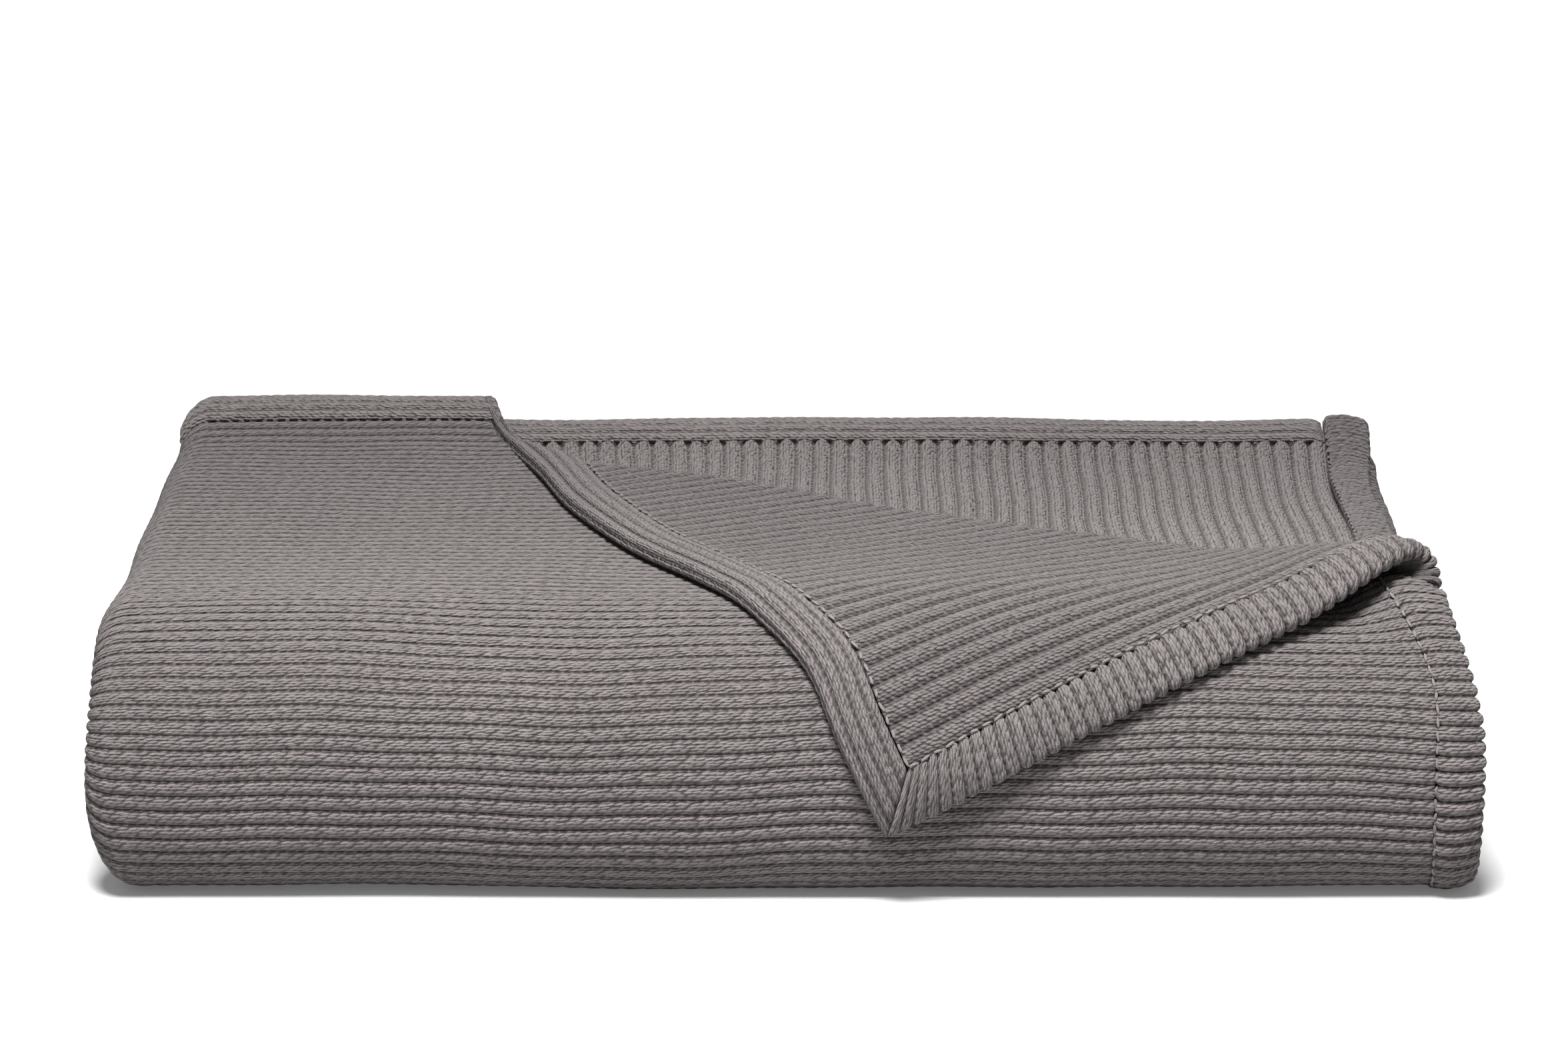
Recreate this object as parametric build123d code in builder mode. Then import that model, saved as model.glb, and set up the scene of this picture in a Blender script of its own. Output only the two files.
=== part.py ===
from build123d import *
import math
import os

# A throw blanket folded to a quarter each way: sixteen plies, with one corner of the top ply turned over.
# Millimetres. Origin at the centre of the footprint, on the surface that it lies on.
# +X runs along the width (left fold to right hem), +Y runs to the back, +Z is up.

os.makedirs("parts", exist_ok=True)

# ---- the folded stack ----
width = 445.0              # left fold to right hems: a quarter of the blanket's length
half_width = width / 2
ply_count = 16
half_plies = ply_count // 2
hem_width = 16.0
front_y = -136.0           # foremost line of the outermost front fold
back_y = 144.6             # rearmost line of the back fold
hem_end_y = 140.0          # free hems at the top of the back
split_y = -74.0            # where the flat plies pass into the front folds
front_height = 88.0        # height of the stack at split_y
top_slope = 0.045          # the stack is a little thicker at the back
nose_step = 7.5            # each inner front fold stands this much further back
nose_height = 34.0         # height of the foremost line of the outermost fold
upper_reach = 54.0         # depth of the outermost fold's upper curve
lower_reach = 26.0         # depth of its lower curve
core_reach = 1.5           # what is left of both curves at the middle of the stack
ply_gap = 0.035            # clearance on each side of a ply, as a share of its thickness
seam_gap = 1.0             # space between a ply's body and its hem, where the thread lies
thread_width = 0.5

# ---- side folds ----
fold_wall = 6.2            # the cloth where it turns round a side fold
wall_gap = 0.3
left_1 = -half_width + fold_wall
left_2 = left_1 - wall_gap + fold_wall + wall_gap
right_1 = half_width - fold_wall
hem_x = half_width - hem_width

# ---- the turned corner ----
crease_left = (-92.0, 84.0)      # ends of the fold line of the corner, seen from above
crease_right = (216.0, -84.5)
roll_radius = 5.3                # cloth that rolls over the fold line
crease_clearance = 6.2           # ply 1 and the corner stay this far from the fold line
corner_fold_y = -84.0            # where the corner bends down over the front
corner_lift = 0.08               # clearance under the corner, as a share of a ply
corner_ply = 0.90                # its thickness, as a share of a ply
corner_hem = 1.10                # its doubled hems are thicker
hem_stub_x = -104.0              # where the back hem of ply 1 starts to turn
left_edge = [(-88.0, 74.8), (-86.0, 66.0), (-68.0, 8.0), (-16.0, -84.0)]
tip_left_edge = [(-16.0, 100.0), (2.0, 82.0), (16.0, 60.0), (33.0, 22.0)]
tip_right_edge = [(33.0, 22.0), (57.0, 36.0), (111.0, 64.0), (165.0, 87.0), (202.0, 92.0)]
corner_right_x = 202.0
right_hem_start = (166.0, -84.0)
right_hem_back = (180.0, -71.8)

columns = "ABCDDCBA"             # which quarter of the blanket's length each ply belongs to


def stack_height(y):
    """Height of the whole stack at depth y."""
    return front_height + (y - split_y) * top_slope


def upper(y, n):
    """Height of the boundary n plies in from the top, at depth y."""
    return stack_height(y) * (1 - n / ply_count)


def lower(y, n):
    """Height of the boundary n plies up from the bottom, at depth y."""
    return stack_height(y) * n / ply_count


def fold_boundary(n, top_end, bottom_end):
    """Side view of the surface n plies in: along the top, round the front and back under."""
    inwards = max(0.0, 1 - n / half_plies)
    nose = front_y + n * nose_step
    nose_z = nose_height + n * (front_height / 2 - nose_height) / half_plies
    upper_a = upper_reach * inwards + core_reach
    lower_a = lower_reach * inwards + core_reach
    upper_y = nose + upper_a
    lower_y = nose + lower_a
    upper_b = upper(upper_y, n) - nose_z
    lower_b = nose_z - lower(lower_y, n)
    with BuildLine(mode=Mode.PRIVATE) as path:
        Line((top_end, upper(top_end, n)), (upper_y, upper(upper_y, n)))
        EllipticalCenterArc((upper_y, nose_z), upper_a, upper_b, 90, arc_size=90)
        EllipticalCenterArc((lower_y, nose_z), lower_a, lower_b, 180, arc_size=90)
        Line((lower_y, lower(lower_y, n)), (bottom_end, lower(bottom_end, n)))
    return path.line


def fold_solid(n_outer, n_inner, top_end, bottom_end, x_start, x_end):
    """Add cloth that lies between two boundaries of the front fold."""
    with BuildSketch(Plane.YZ.offset(x_start)) as side_view:
        with BuildLine():
            add(fold_boundary(n_outer, top_end, bottom_end))
            add(fold_boundary(n_inner, top_end, bottom_end))
            Line((top_end, upper(top_end, n_outer)), (top_end, upper(top_end, n_inner)))
            Line((bottom_end, lower(bottom_end, n_outer)), (bottom_end, lower(bottom_end, n_inner)))
        make_face()
    extrude(side_view.sketch, amount=x_end - x_start)


def slab(height, n_1, n_2, y_start, y_end, x_start, x_end):
    """Add a flat length of cloth between two boundaries of the upper or the lower half."""
    with BuildSketch(Plane.YZ.offset(x_start)) as side_view:
        with BuildLine():
            Polyline(
                (y_start, height(y_start, n_1)),
                (y_end, height(y_end, n_1)),
                (y_end, height(y_end, n_2)),
                (y_start, height(y_start, n_2)),
                close=True,
            )
        make_face()
    extrude(side_view.sketch, amount=x_end - x_start)


back_fold_y = back_y - lower(back_y, half_plies) / 2 - 1.0


def back_fold_solid(n_outer, n_inner, x_start, x_end):
    """Add a half ring of cloth at the lower back, where the bottom plies double back on themselves."""
    middle = half_plies / 2
    centre = (back_fold_y, lower(back_fold_y, middle))
    reach = back_y - back_fold_y
    with BuildSketch(Plane.YZ.offset(x_start)) as side_view:
        for n, mode in ((n_outer, Mode.ADD), (n_inner, Mode.SUBTRACT)):
            share = (middle - n) / middle
            with BuildLine():
                EllipticalCenterArc(centre, reach * share, centre[1] * share, -90, arc_size=180)
                Line((centre[0], centre[1] * (1 + share)), (centre[0], centre[1] * (1 - share)))
            make_face(mode=mode)
    extrude(side_view.sketch, amount=x_end - x_start)


def prism(plane, outline, height, mode):
    """Add, cut or keep what is inside an outline drawn on a plane."""
    with BuildSketch(plane) as drawn:
        with BuildLine():
            Polyline(*outline, close=True)
        make_face()
    extrude(drawn.sketch, amount=height, mode=mode)


def finish(name, part):
    """Label a piece and write it as a STEP file."""
    part.label = name
    export_step(part, f"parts/{name}.step")


def crease_point(x, clearance):
    """A point of the line that runs beside the corner's fold line, at this clearance in front of it."""
    run_x = crease_right[0] - crease_left[0]
    run_y = crease_right[1] - crease_left[1]
    length = math.hypot(run_x, run_y)
    shifted_x = crease_left[0] + run_y / length * clearance
    shifted_y = crease_left[1] - run_x / length * clearance
    return x, shifted_y + (x - shifted_x) * run_y / run_x


def cut_turned_corner():
    """Take away the triangle of ply 1 that has been turned over."""
    far = half_width + 20
    near_left = crease_point(hem_stub_x, crease_clearance)
    near_right = crease_point(far, crease_clearance)
    outline = [near_left, (hem_stub_x, back_y + 10), (far, back_y + 10), near_right]
    prism(Plane.XY.offset(front_height * 0.6), outline, front_height, Mode.SUBTRACT)


# ---- sixteen flat plies and the folds that join them at the front ----
x_spans = {"A": (left_1, hem_x), "B": (left_2, hem_x), "C": (left_2, right_1 - wall_gap), "D": (left_1, right_1 - wall_gap)}
ply_end_y = hem_end_y - hem_width - seam_gap

for n, column in enumerate(columns):
    x_start, x_end = x_spans[column]
    with BuildPart() as upper_ply:
        slab(upper, n + ply_gap, n + 1 - ply_gap, split_y, ply_end_y, x_start, x_end)
        if n == 0:
            cut_turned_corner()
    finish(f"ply_{n + 1:02d}", upper_ply.part)

    with BuildPart() as lower_ply:
        near_floor = n + ply_gap if n else 0.0
        slab(lower, near_floor, n + 1 - ply_gap, split_y, back_fold_y, x_start, x_end)
    finish(f"ply_{ply_count - n:02d}", lower_ply.part)

    with BuildPart() as front_fold:
        outermost = n + ply_gap if n else 0.0
        fold_solid(outermost, n + 1 - ply_gap, split_y, split_y, x_start, x_end)
        if n == 0:
            cut_turned_corner()
    finish(f"front_fold_{n + 1}", front_fold.part)

# ---- four folds at the lower back ----
for n, column in enumerate(columns[:4]):
    x_start, x_end = x_spans[column]
    reach_x = half_width if column in "AB" else x_end
    with BuildPart() as back_fold:
        back_fold_solid(n + ply_gap, n + 1 - ply_gap, x_start, reach_x)
    finish(f"back_fold_{n + 1}", back_fold.part)


# ---- folds along the sides, each one strip of cloth that follows the whole spiral ----
def side_fold(n_first, n_last, x_start, x_end):
    """Add the wall of a side fold that wraps plies n_first to n_last."""
    mirrored_first = half_plies - n_last
    mirrored_last = half_plies - n_first
    first = n_first + ply_gap if n_first else 0.0
    fold_solid(first, n_last - ply_gap, hem_end_y, back_fold_y, x_start, x_end)
    fold_solid(mirrored_first + ply_gap, mirrored_last - ply_gap, hem_end_y, back_fold_y, x_start, x_end)
    back_fold_solid(n_first + ply_gap, min(n_last, 3.9) - ply_gap, x_start, x_end)


with BuildPart() as left_fold_outer:
    side_fold(0, 4, -half_width, left_1 - wall_gap)
finish("left_fold_outer", left_fold_outer.part)

with BuildPart() as left_fold_inner:
    side_fold(1, 3, left_1, left_2 - wall_gap)
finish("left_fold_inner", left_fold_inner.part)

with BuildPart() as right_fold:
    side_fold(2, 4, right_1, half_width)
finish("right_fold", right_fold.part)

# ---- free hems at the top of the back ----
hem_start_y = hem_end_y - hem_width
for n, column in enumerate(columns):
    x_start, x_end = x_spans[column]
    reach_x = half_width if column in "AB" else x_end
    reach_x = hem_stub_x - wall_gap if n == 0 else reach_x
    with BuildPart() as back_hem:
        slab(upper, n + ply_gap, n + 1 - ply_gap, hem_start_y, hem_end_y, x_start, reach_x)
        back_edges = back_hem.edges().filter_by(Axis.X).group_by(Axis.Y)[-1]
        fillet(back_edges, radius=2.2)
    finish(f"back_hem_{n + 1}", back_hem.part)

# ---- hems down the right side ----
hem_columns = [n for n, column in enumerate(columns) if column in "AB"]
for number, n in enumerate(hem_columns, start=1):
    with BuildPart() as right_hem:
        outermost = n + ply_gap if n else 0.0
        fold_solid(
            outermost, n + 1 - ply_gap, ply_end_y, back_fold_y, hem_x + seam_gap, half_width
        )
        if n == 0:
            cut_turned_corner()
    finish(f"right_hem_{number}", right_hem.part)

# ---- sewing thread, one line along each hem ----
thread_low = 0.3
thread_high = 0.7
thread_y = ply_end_y + (seam_gap - thread_width) / 2
thread_x = hem_x + (seam_gap - thread_width) / 2

with BuildPart() as back_hem_thread:
    for n, column in enumerate(columns):
        x_start, x_end = x_spans[column]
        x_end = hem_stub_x - wall_gap if n == 0 else x_end
        slab(upper, n + thread_low, n + thread_high, thread_y, thread_y + thread_width, x_start, x_end)
finish("back_hem_thread", back_hem_thread.part)

with BuildPart() as right_hem_thread:
    for n in hem_columns:
        fold_solid(
            n + thread_low, n + thread_high, ply_end_y, back_fold_y, thread_x, thread_x + thread_width
        )
        if n == 0:
            cut_turned_corner()
finish("right_hem_thread", right_hem_thread.part)


# ---- the turned corner ----
def corner_cloth(thickness):
    """Add cloth that lies on the outside of ply 1, over the top and down the front."""
    fold_solid(-corner_lift - thickness, -corner_lift, ply_end_y, split_y, -half_width, half_width)


def keep_top(outline):
    """Keep the part of the corner that lies on top, inside an outline seen from above."""
    prism(Plane.XY.offset(front_height * 0.6), outline, front_height, Mode.INTERSECT)


def keep_front(outline):
    """Keep the part of the corner that hangs down the front, inside an outline seen from the front."""
    prism(Plane.XZ.offset(-corner_fold_y + wall_gap), outline, front_height, Mode.INTERSECT)


def strip(edge, offset_1, offset_2):
    """A strip beside an edge, between two copies of it moved by these offsets."""
    side_1 = [(x + offset_1[0], y + offset_1[1]) for x, y in edge]
    side_2 = [(x + offset_2[0], y + offset_2[1]) for x, y in edge]
    return side_1 + side_2[::-1]


side_hem = 18.5            # width of the corner's left hem, measured along X
lower_hem = 16.5           # width of the corner's right hem, measured along Z
mitre_gap = 0.4
thread_height = 0.8
top_outline = left_edge + [(corner_right_x, corner_fold_y)]
right_hem_outline = [right_hem_start, right_hem_back, (corner_right_x, corner_fold_y)]
right_thread_outline = [
    (right_hem_start[0] - seam_gap, right_hem_start[1]),
    (right_hem_back[0] - seam_gap, right_hem_back[1] + seam_gap),
    (corner_right_x, corner_fold_y),
]
tip_outline = tip_left_edge + tip_right_edge[1:] + [(corner_right_x, 120.0), (tip_left_edge[0][0], 120.0)]

with BuildPart() as corner_panel:
    corner_cloth(corner_ply)
    keep_top(top_outline)
    prism(Plane.XY, strip(left_edge, (-9, 0), (side_hem + seam_gap, 0)), 200, Mode.SUBTRACT)
    prism(Plane.XY, right_thread_outline, 200, Mode.SUBTRACT)
finish("corner_panel", corner_panel.part)

with BuildPart() as corner_left_hem:
    corner_cloth(corner_hem)
    keep_top(top_outline)
    prism(Plane.XY, strip(left_edge, (-9, 0), (side_hem, 0)), 200, Mode.INTERSECT)
finish("corner_left_hem", corner_left_hem.part)

with BuildPart() as corner_right_hem:
    corner_cloth(corner_hem)
    keep_top(top_outline)
    prism(Plane.XY, right_hem_outline, 200, Mode.INTERSECT)
finish("corner_right_hem", corner_right_hem.part)

with BuildPart() as corner_thread:
    corner_cloth(thread_height)
    keep_top(top_outline)
    thread_strip = strip(left_edge, (side_hem + 0.25, 0), (side_hem + 0.25 + thread_width, 0))
    prism(Plane.XY, thread_strip, 200, Mode.INTERSECT)
finish("corner_thread", corner_thread.part)

left_tip_strip = strip(tip_left_edge, (-9, 0), (side_hem, 0))
left_tip_cut = strip(tip_left_edge, (-9, 0), (side_hem + seam_gap, 0))
right_tip_strip = strip(tip_right_edge, (0, -9), (0, lower_hem))
right_tip_cut = strip(tip_right_edge, (0, -9), (0, lower_hem + seam_gap))
front_plane = Plane.XZ.offset(-corner_fold_y)

with BuildPart() as corner_tip_panel:
    corner_cloth(corner_ply)
    keep_front(tip_outline)
    prism(front_plane, left_tip_cut, 200, Mode.SUBTRACT)
    prism(front_plane, right_tip_cut, 200, Mode.SUBTRACT)
finish("corner_tip_panel", corner_tip_panel.part)

with BuildPart() as corner_tip_left_hem:
    corner_cloth(corner_hem)
    keep_front(tip_outline)
    prism(front_plane, left_tip_strip, 200, Mode.INTERSECT)
    prism(front_plane, strip(tip_right_edge, (0, -9), (0, lower_hem + mitre_gap)), 200, Mode.SUBTRACT)
finish("corner_tip_left_hem", corner_tip_left_hem.part)

with BuildPart() as corner_tip_right_hem:
    corner_cloth(corner_hem)
    keep_front(tip_outline)
    prism(front_plane, right_tip_strip, 200, Mode.INTERSECT)
finish("corner_tip_right_hem", corner_tip_right_hem.part)

with BuildPart() as corner_tip_thread:
    corner_cloth(thread_height)
    keep_front(tip_outline)
    tip_thread = strip(tip_left_edge, (side_hem + 0.25, 0), (side_hem + 0.25 + thread_width, 0))
    prism(front_plane, tip_thread, 200, Mode.INTERSECT)
    prism(front_plane, right_tip_cut, 200, Mode.SUBTRACT)
finish("corner_tip_thread", corner_tip_thread.part)

axis_start = Vector(*crease_left, upper(crease_left[1], 0) + 0.3)
axis_end = Vector(*crease_right, upper(crease_right[1], 0) + 0.3)
crease_plane = Plane(origin=axis_start, z_dir=axis_end - axis_start)

with BuildPart() as corner_roll:
    with BuildSketch(crease_plane):
        Circle(roll_radius)
    extrude(amount=(axis_end - axis_start).length)
finish("corner_roll", corner_roll.part)

# The stretch of back hem that twists over on its way into the corner.
turn_outline = [
    (hem_stub_x, hem_end_y),
    (hem_stub_x, hem_start_y),
    (hem_stub_x + 5, 100.0),
    (hem_stub_x + 21, 97.0),
    (hem_stub_x + 17, hem_end_y),
]
with BuildPart() as back_hem_turn:
    slab(upper, -0.7, 1 - ply_gap, 90.0, hem_end_y, hem_stub_x, 0.0)
    prism(Plane.XY, turn_outline, 200, Mode.INTERSECT)
finish("back_hem_turn", back_hem_turn.part)
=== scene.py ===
# %% [markdown]
# # A ribbed throw blanket, folded, with one corner turned over
# The real thing is one heavy cotton cloth, folded to a quarter each way. Its face has soft ribs along the
# width, and its underside has deeper ribs that run the other way. This lesson rebuilds it around a packed
# CAD model, which gives every size and place, so that nothing has to be fitted by eye.

# %% Load the frame
import math

import bmesh
import bpy
import numpy as np
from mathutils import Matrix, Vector


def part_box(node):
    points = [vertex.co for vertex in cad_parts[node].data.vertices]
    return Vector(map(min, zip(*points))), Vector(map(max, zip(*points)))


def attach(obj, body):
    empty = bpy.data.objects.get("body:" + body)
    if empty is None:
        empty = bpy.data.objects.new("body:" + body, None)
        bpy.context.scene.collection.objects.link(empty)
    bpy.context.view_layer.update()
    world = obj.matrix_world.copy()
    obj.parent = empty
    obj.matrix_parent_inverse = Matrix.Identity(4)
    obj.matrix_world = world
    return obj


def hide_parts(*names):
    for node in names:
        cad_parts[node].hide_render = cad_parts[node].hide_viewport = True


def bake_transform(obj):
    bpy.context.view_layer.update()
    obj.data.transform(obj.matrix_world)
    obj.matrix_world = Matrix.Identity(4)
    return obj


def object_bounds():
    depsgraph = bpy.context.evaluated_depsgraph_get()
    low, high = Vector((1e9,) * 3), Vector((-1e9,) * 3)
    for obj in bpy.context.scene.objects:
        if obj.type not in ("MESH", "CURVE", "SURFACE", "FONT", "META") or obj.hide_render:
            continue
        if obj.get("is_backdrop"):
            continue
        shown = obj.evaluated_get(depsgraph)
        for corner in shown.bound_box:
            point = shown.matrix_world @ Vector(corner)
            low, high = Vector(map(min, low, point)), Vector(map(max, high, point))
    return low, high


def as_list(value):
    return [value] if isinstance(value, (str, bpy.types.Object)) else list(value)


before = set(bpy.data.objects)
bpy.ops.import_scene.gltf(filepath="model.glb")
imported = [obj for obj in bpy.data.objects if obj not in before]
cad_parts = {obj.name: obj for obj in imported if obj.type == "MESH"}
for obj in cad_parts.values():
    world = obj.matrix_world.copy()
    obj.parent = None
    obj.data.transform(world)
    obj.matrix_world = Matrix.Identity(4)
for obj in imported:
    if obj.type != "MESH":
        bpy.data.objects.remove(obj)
cad_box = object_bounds()
MM = 0.001


def corners(node):
    """Lowest and highest corner of a CAD node, in millimetres."""
    low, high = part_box(node)
    return np.array(low) / MM, np.array(high) / MM


# %% [markdown]
# ## The folded stack
# Sixteen plies lie on each other and turn round the front together, so one rule can place them all. A point
# is named by how far along the cloth it is from the free hem at the back, and by how many plies deep it
# is. The rule follows the same curves as the CAD model: along the top, round the front, back underneath,
# round the fold at the lower back and then the same way back inside.

# %% Sizes read from the CAD model
half_plies = 8
ply_count = 16
gap = 0.035
half_width = cad_box[1].x / MM
hem_end = corners("back_hem_2")[1][1]
hem_width = hem_end - corners("back_hem_2")[0][1]
seam_x = corners("right_hem_2")[0][0]
split_y = corners("front_fold_2")[1][1]
front_y = corners("front_fold_1")[0][1]
back_y = corners("back_fold_1")[1][1]
front_height = corners("front_fold_1")[1][2]
top_slope = (corners("ply_01")[1][2] / (1 - gap / ply_count) - front_height) / (hem_end - hem_width - 1 - split_y)
nose_step, nose_height = 7.5, 34.0
upper_reach, lower_reach, core_reach = 54.0, 26.0, 1.5
sag_depth, sag_centre, sag_half = 4.0, 38.0, 95.0
hem_rise = 9.0
floor_squareness = 0.77


def smooth(x):
    """Eases from 0 to 1."""
    x = np.clip(x, 0, 1)
    return x * x * (3 - 2 * x)


def stack_height(y):
    """Height of the stack. It sinks a little in the middle, and its doubled hems make it thicker at the back."""
    sag = sag_depth * np.exp(-(((y - sag_centre) / sag_half) ** 4))
    return front_height + (y - split_y) * top_slope - sag + hem_rise * smooth((y - 108) / 38)


back_height = front_height + (back_y - split_y) * top_slope
back_fold_y = back_y - back_height / 4 - 1.0
print(f"stack: {2 * half_width:.0f} mm wide, {front_height:.0f} to {back_height:.0f} mm high")


# %% One boundary between plies, seen from the side
def leg(t, n):
    """t is 0-1 along the top, 1-3 round the front and 3-4 along the bottom. n counts plies from outside."""
    inward = np.maximum(1 - n / half_plies, 0)
    nose = front_y + n * nose_step
    nose_z = nose_height + n * (front_height / 2 - nose_height) / half_plies
    upper_a, lower_a = upper_reach * inward + core_reach, lower_reach * inward + core_reach
    upper_y, lower_y = nose + upper_a, nose + lower_a
    share = n / ply_count
    upper_b = stack_height(upper_y) * (1 - share) - nose_z
    lower_b = nose_z - stack_height(lower_y) * share
    a = (np.clip(t, 1, 2) - 1) * math.pi / 2
    b = (np.clip(t, 2, 3) - 2) * math.pi / 2
    top_y = hem_end + (upper_y - hem_end) * np.clip(t, 0, 1)
    bottom_y = lower_y + (back_fold_y - lower_y) * (np.clip(t, 3, 4) - 3)
    parts = [t <= 1, t <= 2, t <= 3]
    low_y = lower_y - lower_a * np.cos(b).clip(0) ** floor_squareness
    low_z = nose_z - lower_b * np.sin(b).clip(0) ** floor_squareness
    y = np.select(parts, [top_y, upper_y - upper_a * np.sin(a), low_y], bottom_y)
    top_z = stack_height(top_y) * (1 - share)
    z = np.select(parts, [top_z, nose_z + upper_b * np.cos(a), low_z], stack_height(bottom_y) * share)
    return y, z


def path(t, n):
    """The whole way: t is 4-5 round the back fold, and 5-9 back along the inner plies to their hems."""
    t, n = np.broadcast_arrays(np.asarray(t, float), np.asarray(n, float))
    inner = t > 4.5
    y, z = leg(np.clip(np.where(inner, 9 - t, t), 0, 4), np.where(inner, half_plies - n, n))
    turn = (np.clip(t, 4, 5) - 4.5) * math.pi
    middle = stack_height(back_fold_y) / 4
    share = (half_plies / 2 - n) / (half_plies / 2)
    ring = (t > 4) & (t < 5)
    ring_y = back_fold_y + (back_y - back_fold_y) * share * np.cos(turn)
    return np.where(ring, ring_y, y), np.where(ring, middle * (1 + share * np.sin(turn)), z)


# %% Lengths along the cloth
t_table = np.linspace(0, 9, 18001)
y_table, z_table = path(t_table, 0)
s_table = np.append(0, np.cumsum(np.hypot(np.diff(y_table), np.diff(z_table))))
slope_y, slope_z = np.gradient(y_table, s_table + t_table * 1e-9), np.gradient(z_table, s_table + t_table * 1e-9)
smoothing = np.ones(161) / 161
slope_y, slope_z = (np.convolve(np.pad(v, 80, "edge"), smoothing, "valid") for v in (slope_y, slope_z))
slope_size = np.hypot(slope_y, slope_z)


def t_of(s):
    return np.interp(s, s_table, t_table)


def s_of(t):
    return np.interp(t, t_table, s_table)


def outward(s):
    """The direction out of the cloth's face in the side view, at a length s along it."""
    return np.interp(s, s_table, slope_z / slope_size), -np.interp(s, s_table, slope_y / slope_size)


print(f"one column of the blanket is {s_table[-1]:.0f} mm long, {s_of(3):.0f} mm of it down to the floor")


# %% [markdown]
# ## Placing the cloth
# A hand-folded cloth is never quite straight. Smooth sums of waves make it uneven in height, and let its
# ribs wander a little. The left edge turns round the plies inside it, as a half circle seen from the
# front, and it is tucked in near the floor.

# %% Unevenness, and the turn of the left edge
def uneven(x, s):
    """Low waves of the surface, in millimetres."""
    wide = 0.55 * np.sin(x / 61 + 1.3) * np.sin(s / 47 + 0.4) + 0.35 * np.sin(x / 29 + s / 37)
    return wide + 0.22 * np.sin(x / 13 + 2.0) * np.sin(s / 19 + x / 41)


def wander(x, s):
    """How far a rib strays along the cloth."""
    return 1.1 * np.sin(x / 52 + s / 130 + 0.6) + 0.5 * np.sin(x / 23 - s / 70 + 2.1) + 0.25 * np.sin(x / 9 + s / 31)


turn_radius = 11.5
turn_length = 39.0
left_flat = -half_width + turn_radius
tuck = 3.5


def stack_place(u, s, depth, first=0.0, span=4.0, side=-1):
    """A point of cloth that covers plies first to first+span and turns round its edge on one side."""
    edge = half_width - turn_radius
    past = np.maximum(side * u - edge, 0)
    phi = np.minimum(past / turn_length * math.pi, math.pi)
    ply = turn_radius * 2 / 4
    x = side * (np.minimum(side * u, edge) + (turn_radius * span / 4 - ply * depth) * np.sin(phi))
    n = first + span / 2 - (span / 2 - depth) * np.cos(phi)
    t = t_of(s)
    y, z = path(t, n)
    tucked = tuck * smooth((t - 2.0) / 1.0) * smooth((4.2 - t) / 0.4) * smooth((-x - 120) / 100)
    up_y, up_z = outward(s)
    lift = uneven(u, s) * smooth((3 - t) * 3 + 1) * (1 - n / half_plies).clip(0)
    sway = 0.8 * np.sin(s / 33 + side) + 0.5 * np.sin(s / 14 + 2 * side)
    x = x + tucked + sway * smooth((np.abs(x) - 150) / 70) * side
    return np.stack([x, y + up_y * lift, np.maximum(z + up_z * lift, 0.25 + 0.2 * depth)], -1)


# %% [markdown]
# ## Making slabs of cloth
# Cloth this heavy has a thickness that shows at its edges, so each piece is a closed slab. Its outer side
# has a dense grid, which carries the ribs, and its inner side has a sparse one. Every point remembers
# its place on the cloth, across the ribs and along them, and which way is out.

# %% The slab maker
def slab(name, rows, columns, place, across, along, relief=1.0, inner_step=(12, 12), thickness=0.93, inside=0.0):
    """place(row, column, depth) gives points; across and along name the place on the cloth."""
    r, c = np.meshgrid(rows, columns, indexing="ij")
    outer, shell = place(r, c, 0.0), place(r, c, 0.08)
    out = outer - shell
    out /= np.linalg.norm(out, axis=-1, keepdims=True) + 1e-12
    kept = [sorted({*range(0, len(v) - 1, step), len(v) - 1}) for v, step in zip((rows, columns), inner_step)]
    coarse = np.ix_(*kept)
    inner = place(r[coarse], c[coarse], thickness)
    ids = np.arange(outer[..., 0].size).reshape(r.shape)
    inner_ids = np.arange(inner[..., 0].size).reshape(inner.shape[:2]) + ids.size
    quads = np.stack([ids[:-1, :-1], ids[1:, :-1], ids[1:, 1:], ids[:-1, 1:]], -1).reshape(-1, 4).tolist()
    back = np.stack([inner_ids[:-1, :-1], inner_ids[:-1, 1:], inner_ids[1:, 1:], inner_ids[1:, :-1]], -1)
    faces = quads + back.reshape(-1, 4).tolist()
    borders = [
        (ids[0, :], inner_ids[0, :], kept[1], False),
        (ids[-1, :], inner_ids[-1, :], kept[1], True),
        (ids[:, 0], inner_ids[:, 0], kept[0], True),
        (ids[:, -1], inner_ids[:, -1], kept[0], False),
    ]
    for fine, rough, marks, flip in borders:
        for k in range(len(marks) - 1):
            run = fine[marks[k] : marks[k + 1] + 1].tolist() + [int(rough[k + 1]), int(rough[k])]
            faces.append(run[::-1] if flip else run)
    fields = {
        "across": np.concatenate([across(r, c).ravel(), across(r[coarse], c[coarse]).ravel()]),
        "along": np.concatenate([along(r, c).ravel(), along(r[coarse], c[coarse]).ravel()]),
        "relief": np.concatenate([np.full(ids.size, relief), np.full(inner_ids.size, inside)]),
    }
    points = np.concatenate([outer.reshape(-1, 3), inner.reshape(-1, 3)])
    ways = np.concatenate([out.reshape(-1, 3), np.zeros((inner_ids.size, 3))])
    return make_piece(name, points, faces, fields, ways)


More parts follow.
